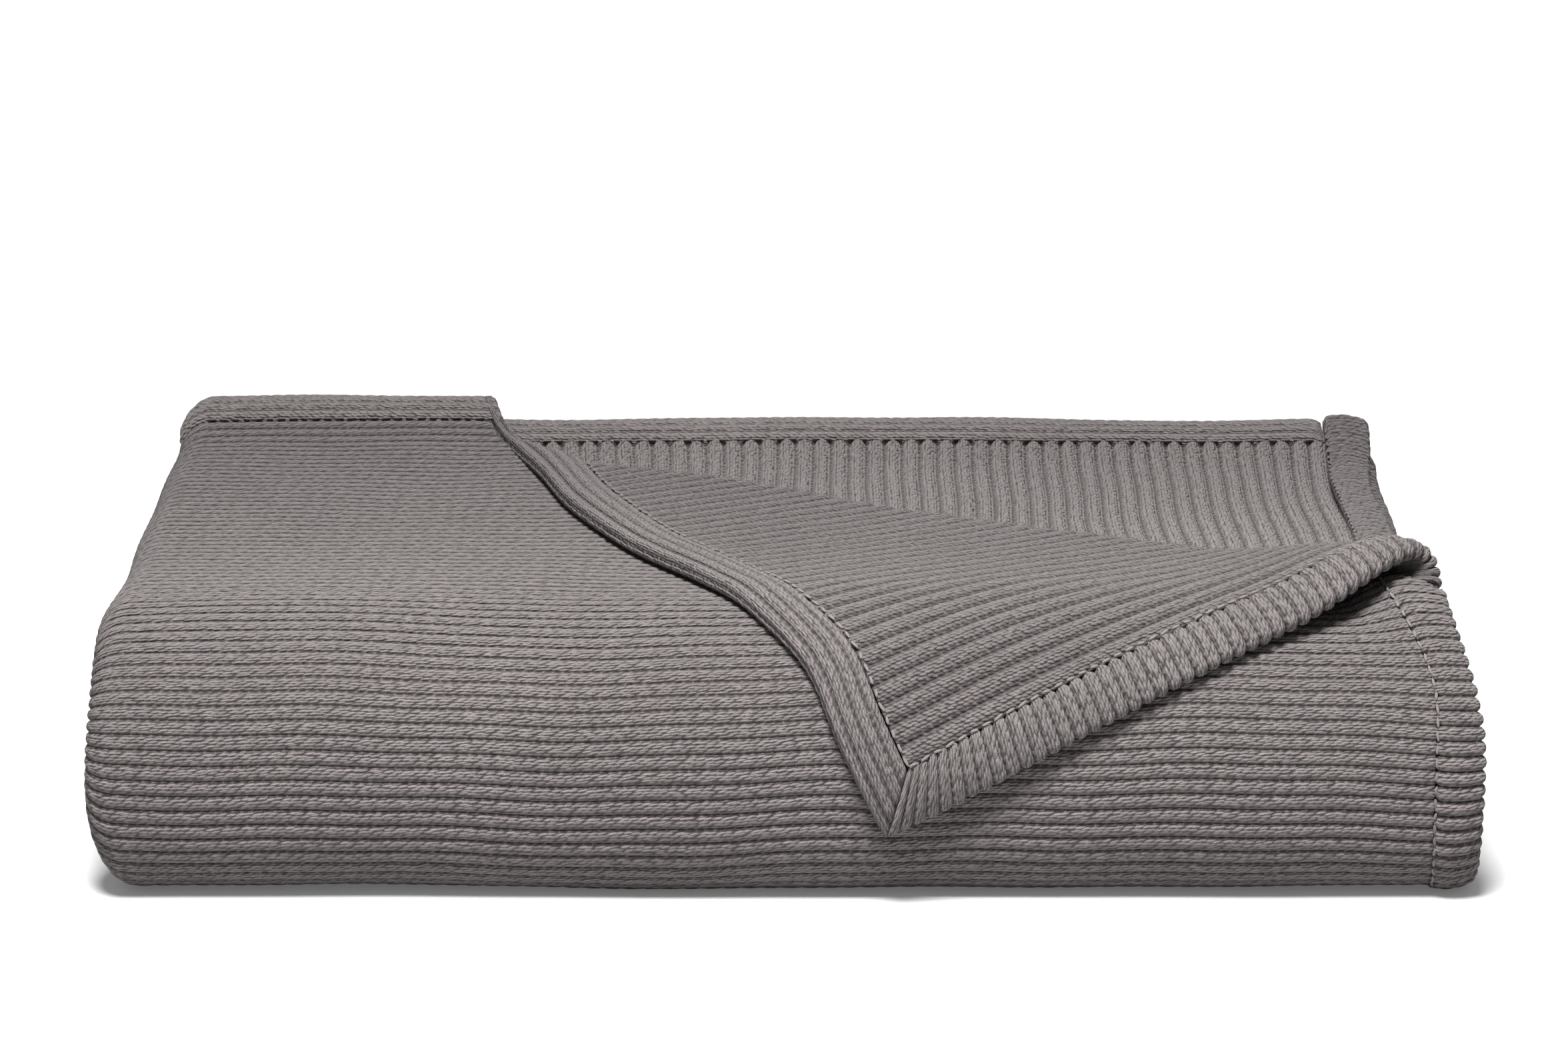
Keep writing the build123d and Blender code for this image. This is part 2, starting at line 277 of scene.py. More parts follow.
def make_piece(name, points, faces, fields, ways):
    """A mesh in metres, turned outwards, with its cloth map and the fields that the ribs need."""
    mesh = bpy.data.meshes.new(name)
    mesh.from_pydata((points * MM).tolist(), [], faces)
    piece = bpy.data.objects.new(name, mesh)
    bpy.context.scene.collection.objects.link(piece)
    mesh.update()
    corner = np.zeros(len(mesh.loops), np.int32)
    mesh.loops.foreach_get("vertex_index", corner)
    cloth_map = mesh.uv_layers.new(name="cloth")
    flat = np.stack([fields["along"], fields["across"]], -1)[corner] / 100
    cloth_map.data.foreach_set("uv", flat.astype(np.float32).ravel())
    for field, values in fields.items():
        mesh.attributes.new(field, "FLOAT", "POINT").data.foreach_set("value", values.astype(np.float32))
    mesh.attributes.new("out", "FLOAT_VECTOR", "POINT").data.foreach_set("vector", ways.astype(np.float32).ravel())
    mesh.polygons.foreach_set("use_smooth", np.ones(len(mesh.polygons), bool))
    tidy_mesh(mesh)
    return piece


def tidy_mesh(mesh):
    """Merge doubled points, drop faces that have shrunk to nothing and turn the shell outwards."""
    shell = bmesh.new()
    shell.from_mesh(mesh)
    bmesh.ops.remove_doubles(shell, verts=shell.verts, dist=0.00002)
    bmesh.ops.dissolve_degenerate(shell, dist=0.00001, edges=shell.edges)
    if shell.calc_volume(signed=True) < 0:
        bmesh.ops.reverse_faces(shell, faces=shell.faces)
    shell.to_mesh(mesh)
    shell.free()
    mesh.update()


# %% [markdown]
# ## Ribs as Geometry Nodes
# Ribs repeat, so a small node tree raises them: it reads each point's place across the ribs and moves the
# point along its own outward direction. Grooves are narrow and ribs are round, and small pinches along a
# rib give it the knotted look of the real weave. The tree is built once, and each piece gives its own
# sizes to it.

# %% The rib tree
def new_socket(tree, name, kind, direction="INPUT", value=None):
    socket = tree.interface.new_socket(name=name, in_out=direction, socket_type=kind)
    if value is not None:
        socket.default_value = value
    return socket


def calculator(tree):
    """Returns a function that adds a Math node and links or sets its inputs."""
    def calc(operation, *inputs, clamp=False):
        node = tree.nodes.new("ShaderNodeMath")
        node.operation, node.use_clamp = operation, clamp
        for socket, value in zip(node.inputs, inputs):
            if isinstance(value, (int, float)):
                socket.default_value = value
            else:
                tree.links.new(value, socket)
        return node.outputs[0]
    return calc


def read_field(tree, name, kind="FLOAT"):
    node = tree.nodes.new("GeometryNodeInputNamedAttribute")
    node.data_type = kind
    node.inputs["Name"].default_value = name
    return node.outputs["Attribute"]


def rib_tree():
    tree = bpy.data.node_groups.new("raise ribs", "GeometryNodeTree")
    new_socket(tree, "Geometry", "NodeSocketGeometry")
    for name, value in (("Rib pitch", 4.82), ("Rib height", 1.2), ("Groove", 0.06), ("Roundness", 0.6),
                        ("Stitch length", 6.4), ("Pinch", 0.2), ("Looseness", 0.12)):
        new_socket(tree, name, "NodeSocketFloat", value=value)
    new_socket(tree, "Cloth", "NodeSocketMaterial")
    new_socket(tree, "Geometry", "NodeSocketGeometry", "OUTPUT")
    given = tree.nodes.new("NodeGroupInput").outputs
    calc = calculator(tree)
    phase = calc("DIVIDE", read_field(tree, "across"), given["Rib pitch"])
    wave = calc("ABSOLUTE", calc("SINE", calc("MULTIPLY", phase, math.pi)))
    above = calc("SUBTRACT", wave, given["Groove"])
    open_part = calc("DIVIDE", above, calc("SUBTRACT", 1.0, given["Groove"]), clamp=True)
    rib = calc("POWER", open_part, given["Roundness"])
    stitch = calc("DIVIDE", read_field(tree, "along"), given["Stitch length"])
    shifted = calc("ADD", stitch, calc("MULTIPLY", calc("FLOOR", phase), 0.37))
    knot = calc("POWER", calc("ABSOLUTE", calc("COSINE", calc("MULTIPLY", shifted, math.pi))), 6.0)
    pinched = calc("SUBTRACT", 1.0, calc("MULTIPLY", knot, given["Pinch"]))
    noise = tree.nodes.new("ShaderNodeTexNoise")
    noise.inputs["Scale"].default_value = 130.0
    loose = calc("MULTIPLY", calc("SUBTRACT", noise.outputs["Fac"], 0.5), given["Looseness"])
    level = calc("SUBTRACT", calc("ADD", calc("MULTIPLY", rib, pinched), loose), 0.7)
    height = calc("MULTIPLY", calc("MULTIPLY", level, given["Rib height"]), read_field(tree, "relief"))
    move = tree.nodes.new("ShaderNodeVectorMath")
    move.operation = "SCALE"
    tree.links.new(read_field(tree, "out", "FLOAT_VECTOR"), move.inputs[0])
    tree.links.new(calc("MULTIPLY", height, MM), move.inputs["Scale"])
    place = tree.nodes.new("GeometryNodeSetPosition")
    tree.links.new(given["Geometry"], place.inputs["Geometry"])
    tree.links.new(move.outputs[0], place.inputs["Offset"])
    return finish_tree(tree, given, place)


def finish_tree(tree, given, last):
    """Ends a tree in Realize Instances and Set Material."""
    solid = tree.nodes.new("GeometryNodeRealizeInstances")
    coat = tree.nodes.new("GeometryNodeSetMaterial")
    tree.links.new(last.outputs[0], solid.inputs[0])
    tree.links.new(solid.outputs[0], coat.inputs["Geometry"])
    tree.links.new(given["Cloth"], coat.inputs["Material"])
    tree.links.new(coat.outputs[0], tree.nodes.new("NodeGroupOutput").inputs[0])
    return tree


ribs = rib_tree()
face_ribs = {"Rib pitch": 4.82, "Rib height": 1.3, "Groove": 0.06, "Roundness": 0.55, "Pinch": 0.22}
under_ribs = {"Rib pitch": 6.5, "Rib height": 2.6, "Groove": 0.28, "Roundness": 0.6, "Pinch": 0.16,
              "Stitch length": 3.2}
floor_level = 0.0002


def run_tree(piece, tree, material, sizes):
    """Give a piece's sizes to a tree and keep the result as a plain mesh, with nothing below the floor."""
    modifier = piece.modifiers.new(tree.name, "NODES")
    modifier.node_group = tree
    sockets = {i.name: i.identifier for i in tree.interface.items_tree if i.in_out == "INPUT"}
    for name, value in {**sizes, "Cloth": material}.items():
        modifier[sockets[name]] = value
    result = bpy.data.meshes.new_from_object(piece.evaluated_get(bpy.context.evaluated_depsgraph_get()))
    piece.modifiers.remove(modifier)
    old, piece.data = piece.data, result
    bpy.data.meshes.remove(old)
    result.name = piece.name
    co = np.empty(3 * len(result.vertices), np.float32)
    result.vertices.foreach_get("co", co)
    co[2::3] = np.maximum(co[2::3], floor_level)
    result.vertices.foreach_set("co", co)
    print(f"{piece.name}: {sum(len(p.vertices) - 2 for p in result.polygons)} triangles")
    return piece

# %% [markdown]
# ## What the cloth looks like close up
# Seen closely, each rib is three or four rows of slanted stitches, packed like bricks. A node group draws
# them from the cloth map, so the pattern follows every fold: it gives a height for bump, a mask of the
# dark gaps, a mask of painted shade in the grooves between ribs and a value for each stitch, which
# varies its colour. The same group serves the face, the underside and the hems, with their own sizes.

# %% The weave group
def weave_group():
    group = bpy.data.node_groups.new("weave", "ShaderNodeTree")
    for name, value in (("Row height", 0.964), ("Stitch length", 2.7), ("Slant", 0.5), ("Rib pitch", 4.82),
                        ("Groove shade width", 0.34), ("Drawn ribs", 0.0), ("Irregular", 0.45), ("Dash length", 3.1),
                        ("Columns", 0.0)):
        new_socket(group, name, "NodeSocketFloat", value=value)
    # Groove is a mask of painted shade in the grooves between ribs, broken by lighter rungs.
    for name in ("Height", "Gaps", "Stitch tone", "Groove"):
        new_socket(group, name, "NodeSocketFloat", "OUTPUT")
    given = group.nodes.new("NodeGroupInput").outputs
    given_out = group.nodes.new("NodeGroupOutput").inputs
    calc = calculator(group)
    cloth_map = group.nodes.new("ShaderNodeUVMap")
    cloth_map.uv_map = "cloth"
    scaled = group.nodes.new("ShaderNodeVectorMath")
    scaled.operation = "SCALE"
    scaled.inputs["Scale"].default_value = 100.0
    group.links.new(cloth_map.outputs[0], scaled.inputs[0])
    parts = group.nodes.new("ShaderNodeSeparateXYZ")
    group.links.new(scaled.outputs[0], parts.inputs[0])
    along, across = parts.outputs[0], parts.outputs[1]
    row = calc("DIVIDE", across, given["Row height"])
    place = calc("ADD", calc("DIVIDE", along, given["Stitch length"]), calc("MULTIPLY", row, given["Slant"]))
    join = group.nodes.new("ShaderNodeCombineXYZ")
    group.links.new(place, join.inputs[0])
    group.links.new(row, join.inputs[1])
    cells = group.nodes.new("ShaderNodeTexVoronoi")
    cells.voronoi_dimensions, cells.feature = "2D", "F1"
    cells.inputs["Scale"].default_value = 1.0
    group.links.new(join.outputs[0], cells.inputs["Vector"])
    group.links.new(given["Irregular"], cells.inputs["Randomness"])
    distance = cells.outputs["Distance"]
    dome = calc("SUBTRACT", 1.0, calc("POWER", calc("MULTIPLY", distance, 1.45, clamp=True), 2.2))
    gaps = calc("MULTIPLY", calc("SUBTRACT", distance, 0.36), 3.6, clamp=True)
    tone = group.nodes.new("ShaderNodeSeparateColor")
    group.links.new(cells.outputs["Color"], tone.inputs[0])
    phase = calc("ABSOLUTE", calc("SINE", calc("MULTIPLY", calc("DIVIDE", across, given["Rib pitch"]), math.pi)))
    dash = calc("DIVIDE", calc("ADD", along, calc("MULTIPLY", row, 0.35)), given["Dash length"])
    rung = calc("POWER", calc("ABSOLUTE", calc("SINE", calc("MULTIPLY", dash, math.pi))), 0.55)
    closed = calc("ADD", 0.05, calc("MULTIPLY", rung, 0.95))
    stripe = calc("POWER", calc("ABSOLUTE", calc("SINE", calc("MULTIPLY", along, math.pi / 6.3))), 7.0)
    gaps = calc("ADD", gaps, calc("MULTIPLY", stripe, given["Columns"]), clamp=True)
    # Painted shade in the grooves, where the cloth lies in shadow, broken by rungs across each groove.
    groove = calc("MULTIPLY", calc("SUBTRACT", 1.0, calc("DIVIDE", phase, given["Groove shade width"], clamp=True)), closed)
    drawn = calc("MULTIPLY", calc("POWER", phase, 0.6), given["Drawn ribs"])
    fibre = group.nodes.new("ShaderNodeTexNoise")
    fibre.inputs["Scale"].default_value = 2.6
    fibre.inputs["Detail"].default_value = 4.0
    group.links.new(scaled.outputs[0], fibre.inputs["Vector"])
    height = calc("ADD", calc("ADD", calc("MULTIPLY", dome, 0.7), calc("MULTIPLY", fibre.outputs["Fac"], 0.4)), drawn)
    group.links.new(height, given_out["Height"])
    group.links.new(gaps, given_out["Gaps"])
    group.links.new(tone.outputs[0], given_out["Stitch tone"])
    group.links.new(groove, given_out["Groove"])
    return group


weave = weave_group()

# %% [markdown]
# Cotton is rough and a little fuzzy, which the Principled shader shows as sheen at grazing angles. The
# cloth is dyed one taupe grey, and the yarn varies it: darker gaps between stitches, slightly different
# stitches, and broad soft changes where the cloth has been handled. Painted shade darkens the grooves
# between ribs and the cloth towards the back, and each part's copy of the colour is made lighter or
# darker as painted light and shade for how lit that part is.

# %% Cloth materials
yarn_light = (0.375, 0.333, 0.329, 1.0)
yarn_dark = (0.225, 0.196, 0.194, 1.0)
# The dark tone of the gaps between stitches, and of the painted shade in the grooves between ribs.
gap_and_groove_shade_tone = (0.03, 0.024, 0.024, 1.0)
# Painted shade: the cloth's colour darkens towards the back, to this tone, standing in for the lamp's light falling
# off.
back_falloff_shade_tone = (0.0, 0.0, 0.0, 1.0)
back_falloff_shade_start, back_falloff_shade_rate = -0.085, 1.9


def blend_colours(tree, factor, first, second):
    mix = tree.nodes.new("ShaderNodeMix")
    mix.data_type = "RGBA"
    for socket, value in ((mix.inputs["Factor"], factor), (mix.inputs[6], first), (mix.inputs[7], second)):
        if isinstance(value, (tuple, float)):
            socket.default_value = value
        else:
            tree.links.new(value, socket)
    return mix.outputs[2]


def multiply_colours(tree, first, second):
    product = tree.nodes.new("ShaderNodeVectorMath")
    product.operation = "MULTIPLY"
    tree.links.new(first, product.inputs[0])
    tree.links.new(second, product.inputs[1])
    return product.outputs[0]


def cloth_material(name, drawn=0.0, relief=1.0, painted_light_level=1.0, **weave_sizes):
    """Cloth with the weave group's sizes, its colour scaled per part as painted light and shade. Its colour also
    darkens towards the back, as painted shade for the lamp's falloff.
    """
    material = bpy.data.materials.new(name)
    material.use_nodes = True
    tree = material.node_tree
    calc = calculator(tree)
    shader = tree.nodes["Principled BSDF"]
    pattern = tree.nodes.new("ShaderNodeGroup")
    pattern.node_tree = weave
    for socket, value in weave_sizes.items():
        pattern.inputs[socket].default_value = value
    pattern.inputs["Drawn ribs"].default_value = drawn
    place = tree.nodes.new("ShaderNodeTexCoord").outputs["Object"]
    broad = tree.nodes.new("ShaderNodeTexNoise")
    broad.inputs["Scale"].default_value = 14.0
    broad.inputs["Detail"].default_value = 3.0
    tree.links.new(place, broad.inputs["Vector"])
    stitch_tone = calc("MULTIPLY", pattern.outputs["Stitch tone"], 0.55)
    tone = calc("ADD", stitch_tone, calc("MULTIPLY", broad.outputs["Fac"], 0.6), clamp=True)
    dark, light = (tuple(painted_light_level * c for c in colour[:3]) + (1.0,) for colour in (yarn_dark, yarn_light))
    split = tree.nodes.new("ShaderNodeSeparateXYZ")
    tree.links.new(place, split.inputs[0])
    # Painted shade for the lamp's falloff: the colour darkens with object y towards the back.
    falloff_amount = calc("MULTIPLY", calc("SUBTRACT", split.outputs[1], back_falloff_shade_start), back_falloff_shade_rate, clamp=True)
    falloff_shade_colour = blend_colours(tree, falloff_amount, (1.0, 1.0, 1.0, 1.0), back_falloff_shade_tone)
    yarn = multiply_colours(tree, blend_colours(tree, tone, dark, light), falloff_shade_colour)
    gaps = calc("MULTIPLY", pattern.outputs["Gaps"], 0.72)
    # Painted shade: the grooves between ribs are darkened to the dark tone, together with the real dark gaps between
    # stitches.
    shade = calc("MAXIMUM", gaps, calc("POWER", pattern.outputs["Groove"], 0.6))
    tree.links.new(blend_colours(tree, shade, yarn, gap_and_groove_shade_tone), shader.inputs["Base Color"])
    tree.links.new(calc("ADD", calc("MULTIPLY", shade, 0.1), 0.84), shader.inputs["Roughness"])
    bump = tree.nodes.new("ShaderNodeBump")
    bump.inputs["Strength"].default_value = relief
    bump.inputs["Distance"].default_value = 0.0016
    tree.links.new(pattern.outputs["Height"], bump.inputs["Height"])
    tree.links.new(bump.outputs[0], shader.inputs["Normal"])
    for socket, value in (("Specular IOR Level", 0.2), ("Sheen Weight", 0.25), ("Sheen Roughness", 0.45),
                          ("Sheen Tint", (0.9, 0.86, 0.84, 1.0))):
        shader.inputs[socket].default_value = value
    return material


hem_weave = {"Row height": 0.92, "Stitch length": 2.4, "Rib pitch": 4.6}
under_weave = {"Row height": 1.083, "Stitch length": 1.9, "Rib pitch": 6.5}
thread_weave = {"Row height": 0.35, "Stitch length": 1.2, "Rib pitch": 50.0, "Groove shade width": 0.001}
# Each copy's colour is scaled up or down to how lit its part looks: painted light and shade on lit and shaded copies
# of one cloth. The groove widths set how far the painted groove shade reaches.
top_look = cloth_material("cloth_top", painted_light_level=0.94, **{"Groove shade width": 0.8, "Columns": 0.22})
face_cloth = cloth_material("cloth_face", painted_light_level=0.86, **{"Groove shade width": 0.5, "Columns": 0.16})
face_hem = cloth_material("cloth_hem", painted_light_level=0.84, **{**hem_weave, "Groove shade width": 0.65})
back_hem_look = cloth_material("cloth_hem_back", painted_light_level=1.3, **{**hem_weave, "Groove shade width": 0.3})
cross_hem = cloth_material("cloth_hem_across", painted_light_level=0.84, **{"Stitch length": 2.4, "Groove shade width": 0.5})
plain_cloth = cloth_material("cloth_face_drawn", drawn=0.8)
flap_look = cloth_material("cloth_corner", painted_light_level=0.7, **{**under_weave, "Groove shade width": 0.75})
under_cloth_look = cloth_material("cloth_underside", painted_light_level=1.12, **{**under_weave, "Groove shade width": 0.42})
thread_look = cloth_material("sewing_thread", relief=0.6, **thread_weave)

# %% [markdown]
# ## The top ply and the front fold
# These two are most of what is seen. Rows of points are placed at set parts of each rib, close together
# at the groove, so that every groove is as sharp as the next. The top ply stops at the fold line of the
# turned corner, which is a smooth curve drawn through a few points of the cloth.

# %% Smooth curves through a few points
def smooth_curve(points, count=40):
    """A function of length along a Catmull-Rom curve, which carries on straight past both ends."""
    p = np.array(points, float)
    p = np.concatenate([[2 * p[0] - p[1]], p, [2 * p[-1] - p[-2]]])
    t = np.linspace(0, 1, count, endpoint=False)[:, None]
    runs = []
    for a, b, c, d in zip(p[:-3], p[1:-2], p[2:-1], p[3:]):
        runs.append(0.5 * (2 * b + (c - a) * t + (2 * a - 5 * b + 4 * c - d) * t**2 + (3 * b - a - 3 * c + d) * t**3))
    line = np.concatenate([*runs, p[-2:-1]])
    lengths = np.append(0, np.cumsum(np.linalg.norm(np.diff(line, axis=0), axis=1)))

    def at(s):
        s = np.asarray(s, float)
        inside = np.stack([np.interp(s, lengths, line[:, k]) for k in range(2)], -1)
        start, end = line[3] - line[0], line[-1] - line[-4]
        before = np.minimum(s, 0)[..., None] * start / np.linalg.norm(start)
        after = np.maximum(s - lengths[-1], 0)[..., None] * end / np.linalg.norm(end)
        return inside + before + after

    at.total, at.line = lengths[-1], line
    return at


# Where the cloth folds over, as (x, length along the cloth from the back hem).
fold_line = smooth_curve(
    [(-112, 2), (-105, 24), (-92, 48), (-72, 76), (-45, 88), (-17, 101), (20, 122), (55, 141), (90, 160),
     (122, 177), (150, 192), (176, 206), (204, 223), (232, 243)]
)


def fold_at(x):
    """Length along the cloth where the fold line crosses x."""
    return np.interp(x, fold_line.line[:, 0], fold_line.line[:, 1])


# %% Rows that follow the ribs
def rib_rows(first, last, pitch, start=0.0, parts=(0, 0.07, 0.25, 0.5, 0.75, 0.93)):
    """Places across the ribs, from rib number first to last, close together at each groove."""
    marks = [start + (k + part) * pitch for k in range(first, last) for part in parts]
    return np.array(marks + [start + last * pitch])


pitch = face_ribs["Rib pitch"]
hem_seam = 3.5 * pitch
columns_full = np.linspace(left_flat - turn_length, seam_x, 321)
split_rib = 41
floor_rib = split_rib + 31


loose_length, ply_rise, hollow = 62.0, 5.0, 4.5


def drawn_in(x):
    """How far the right edge is pulled in where it runs into the roll."""
    return np.interp(x, [110, seam_x, half_width], [0, 13.6, 8.5])


def ply_lift(x):
    """The top ply at the fold line: hollow under the loose corner, and risen into the roll at its edge."""
    return ply_rise * smooth((x - 185) / 30) - hollow * smooth((x - 120) / 50) * (1 - smooth((x - 180) / 30))


def loosened(points, x, s):
    """The top ply near the right end of the fold line: it rises into the loose roll, drawn in."""
    near = smooth((fold_at(x - drawn_in(x)) + loose_length - s) / loose_length)
    rise = ply_lift(x) * near
    up_y, up_z = outward(s)
    return points + np.stack([-drawn_in(x) * near, up_y * rise, up_z * rise], -1)


def face_place(column, s, depth):
    points = stack_place(column, s + wander(column, s) * smooth((s - hem_seam) / 25), depth)
    return loosened(points, *np.broadcast_arrays(column, s))


def top_place(s, column, depth):
    """The top ply, held back at the fold line where the corner has been turned over."""
    limit = np.where(column > -112, fold_at(column - drawn_in(column)), 0.0)
    held = np.maximum(s, np.minimum(limit, split_s))
    return face_place(column, held, depth)


split_s = hem_seam + split_rib * pitch
top_rows = rib_rows(0, split_rib, pitch, hem_seam)
top_cloth = slab("top_cloth", top_rows, columns_full, top_place, lambda s, c: s - hem_seam, lambda s, c: c)
run_tree(top_cloth, ribs, top_look, {**face_ribs, "Rib height": 0.9})

fine_parts = (0, 0.05, 0.14, 0.3, 0.5, 0.7, 0.86, 0.95)
front_rows = rib_rows(split_rib, floor_rib, pitch, hem_seam, fine_parts)
front_cloth = slab("front_cloth", front_rows, columns_full, lambda s, c, d: face_place(c, s, d),
                   lambda s, c: s - hem_seam, lambda s, c: c)
run_tree(front_cloth, ribs, face_cloth, {**face_ribs, "Rib height": 1.15})

# %% [markdown]
# ## The hems as rounded bands
# Along every cut edge the cloth is turned in and sewn, which makes a soft band about three ribs wide. A
# band is a closed loop of points, carried along the cloth: its upper side is crowned, its free edge is
# round, and it dips to the seam. Carrying a cross-section along a path with the same placing rule as the
# cloth keeps the band on the stack wherever that goes.

# %% The band maker
def band_section(width, crown=1.2, edge=2.7, thick=5.4, points=30):
    """A closed loop: how far each point is from the seam, and how deep it lies below the cloth's surface."""
    k = np.linspace(0, 1, points)
    top_across = (width - edge) * k
    top_depth = -crown * np.sin(np.pi * k**0.8).clip(0) ** 0.7 + 0.9 * (1 - smooth(k * 9))
    a = np.linspace(0, np.pi, points // 2)[1:]
    edge_across = width - edge + edge * np.sin(a)
    edge_depth = thick / 2 - thick / 2 * np.cos(a)
    low = np.linspace(width - edge, 0, 4)[1:]
    return (np.concatenate([top_across, edge_across, low]),
            np.concatenate([top_depth, edge_depth, np.full(low.shape, thick)]))


def band(name, runs, section, place, across, along, relief=1.0):
    """place(run, offset, depth) gives points for a closed loop of offsets and depths, at each run."""
    offsets, depths = section
    r, o = np.meshgrid(runs, offsets, indexing="ij")
    d = np.broadcast_to(depths, r.shape)
    points = place(r, o, d)
    inner_o = offsets + (offsets.max() / 2 - offsets) * 0.05
    inner_d = depths + (depths.max() / 2 - depths) * 0.08
    core = place(r, np.broadcast_to(inner_o, r.shape), np.broadcast_to(inner_d, r.shape))
    out = points - core
    out /= np.linalg.norm(out, axis=-1, keepdims=True) + 1e-12
    ids = np.arange(r.size).reshape(r.shape)
    wrap = np.roll(ids, -1, axis=1)
    quads = np.stack([ids[:-1], wrap[:-1], wrap[1:], ids[1:]], -1).reshape(-1, 4).tolist()
    faces = quads + [ids[0][::-1].tolist(), ids[-1].tolist()]
    girth = np.append(0, np.cumsum(np.hypot(np.diff(offsets), np.diff(depths))))
    g = np.broadcast_to(girth, r.shape)
    upper = np.where(depths > depths.max() - 0.1, 0.0, relief)
    fields = {
        "across": across(r, g).ravel(),
        "along": along(r, g).ravel(),
        "relief": np.broadcast_to(upper, r.shape).ravel(),
    }
    return make_piece(name, points.reshape(-1, 3), faces, fields, out.reshape(-1, 3))


ply_mm = 5.6
hem_pitch = 4.6
hem_stitch = {"Stitch length": 5.0}
cross_ribs = {"Rib pitch": pitch, "Rib height": 1.7, "Groove": 0.1, "Roundness": 0.5, "Pinch": 0.15, **hem_stitch}
long_ribs = {"Rib pitch": hem_pitch, "Rib height": 1.0, "Groove": 0.06, "Roundness": 0.6, "Pinch": 0.25, **hem_stitch}


def right_hem(name, ply, first_s, last_s, step_parts, seam=seam_x, drop=0.0):
    """A hem down the right side: it follows the cloth round the front, and its ribs cross it."""
    first_rib = math.ceil((first_s - hem_seam) / pitch)
    runs = rib_rows(first_rib, int((last_s - hem_seam) / pitch), pitch, hem_seam, step_parts)

    def place(s, offset, depth):
        wave = 1.0 * np.sin(s / 41 + 1 + ply) + 0.5 * np.sin(s / 15 + ply)
        x = seam + offset + wave * smooth(offset / hem_width)
        if ply:
            return stack_place(x, s + wander(x, s), ply + drop + depth / ply_mm, side=-1)
        x, s = np.broadcast_arrays(x, s)
        held = np.maximum(s, fold_at(x - drawn_in(x)))
        return loosened(stack_place(x, held + wander(x, held), depth / ply_mm, side=-1), x, held)

    piece = band(name, runs, band_section(half_width - seam_x), place, lambda s, g: s - hem_seam, lambda s, g: g)
    return run_tree(piece, ribs, cross_hem, cross_ribs)


fold_s = float(fold_at(seam_x - drawn_in(seam_x)))
right_hem_a = right_hem("right_hem_front", 0, fold_s, s_table[-1] - hem_seam, (0, 0.07, 0.25, 0.5, 0.75, 0.93))
right_hem_b = right_hem("right_hem_second", 1, 2.0, s_table[-1] - hem_seam, (0, 0.1, 0.35, 0.7), seam_x - 9.0, 0.35)

# %% [markdown]
# The free hems at the back are the same band turned the other way: their ribs run along them. The plies
# under the top one have theirs too, each a little out of line with the next, as folded cloth is.

# %% Back hems
def back_hem(name, ply, first_x, last_x, material=back_hem_look, crown=1.2, step=1.6):
    runs = np.arange(first_x, last_x, step)
    shift = 1.3 * math.sin(2.3 * ply) if ply else 0.0

    def place(x, offset, depth):
        wave = 0.8 * np.sin(x / 47 + ply) + 0.4 * np.sin(x / 17 + 2 * ply)
        s = hem_seam - offset * (1 + (wave + shift) / 40)
        overhang = np.maximum(-s, 0) + (wave + shift) * smooth(offset / hem_width)
        if not ply:
            x = np.minimum(x, np.interp(s, fold_line.line[:, 1], fold_line.line[:, 0]) + 4)
        end = smooth((x - first_x) / 4) * smooth((last_x - x) / 4)
        squeezed = ply_mm / 2 + (depth - ply_mm / 2) * (0.35 + 0.65 * end)
        return stack_place(x, np.maximum(s, 0), ply + squeezed / ply_mm) + overhang[..., None] * np.array([0, 1, 0])

    section = band_section(hem_seam, crown, thick=5.3)
    piece = band(name, runs, section, place, lambda x, g: g, lambda x, g: x)
    return run_tree(piece, ribs, material, long_ribs)


back_hem_a = back_hem("back_hem_top", 0, left_flat - turn_length * 0.5, -101.0, crown=1.6)
second_ply = 1.35
second_seam = seam_x - 9.0
back_hem_b = back_hem("back_hem_second", second_ply, -half_width + 9, second_seam, crown=1.5)
inner_back_hems = [
    back_hem(f"back_hem_inner_{ply + 1}", ply, -half_width + 7, half_width - (1 if ply in (6, 7) else 9), step=3.2)
    for ply in range(2, 8)
]

# %% [markdown]
# ## The second ply
# Where the corner is turned over, the ply beneath shows its underside: deep ribs that run from front to
# back. Only its uncovered part and a margin carry ribs.

# %% Second ply, underside up
under_pitch = under_ribs["Rib pitch"]
margin = 14.0
second_first = -150.0


def second_place(x, row, depth):
    """row runs from 0 at the back seam to 1 just past the fold line."""
    s = hem_seam + row * np.maximum(fold_at(x) + margin - hem_seam, 3.0)
    bend = 0.7 * np.sin(s / 31 + x / 80) + 0.35 * np.sin(s / 13 + x / 37)
    return stack_place(x + bend, s, second_ply + depth)


second_span = int((second_seam - second_first) / under_pitch)
second_xs = rib_rows(0, second_span, under_pitch, second_seam - second_span * under_pitch)
second_cloth = slab("second_cloth", second_xs, np.linspace(0, 1, 121), second_place,
                    lambda x, r: x - second_seam, lambda x, r: hem_seam + r * (fold_at(x) + margin - hem_seam))
run_tree(second_cloth, ribs, under_cloth_look, under_ribs)

# %% [markdown]
# ## The turned corner
# The corner is the same cloth, upside down. Two curves give its free edges: the left one was the back
# hem, and the right one was the side hem. Sliding one curve along the other gives every place between
# them, so the ribs stay parallel to the right edge and spread as real ones do. Beyond the fold line the
# cloth turns round a roll, which is tight in the middle and loose at the right end.

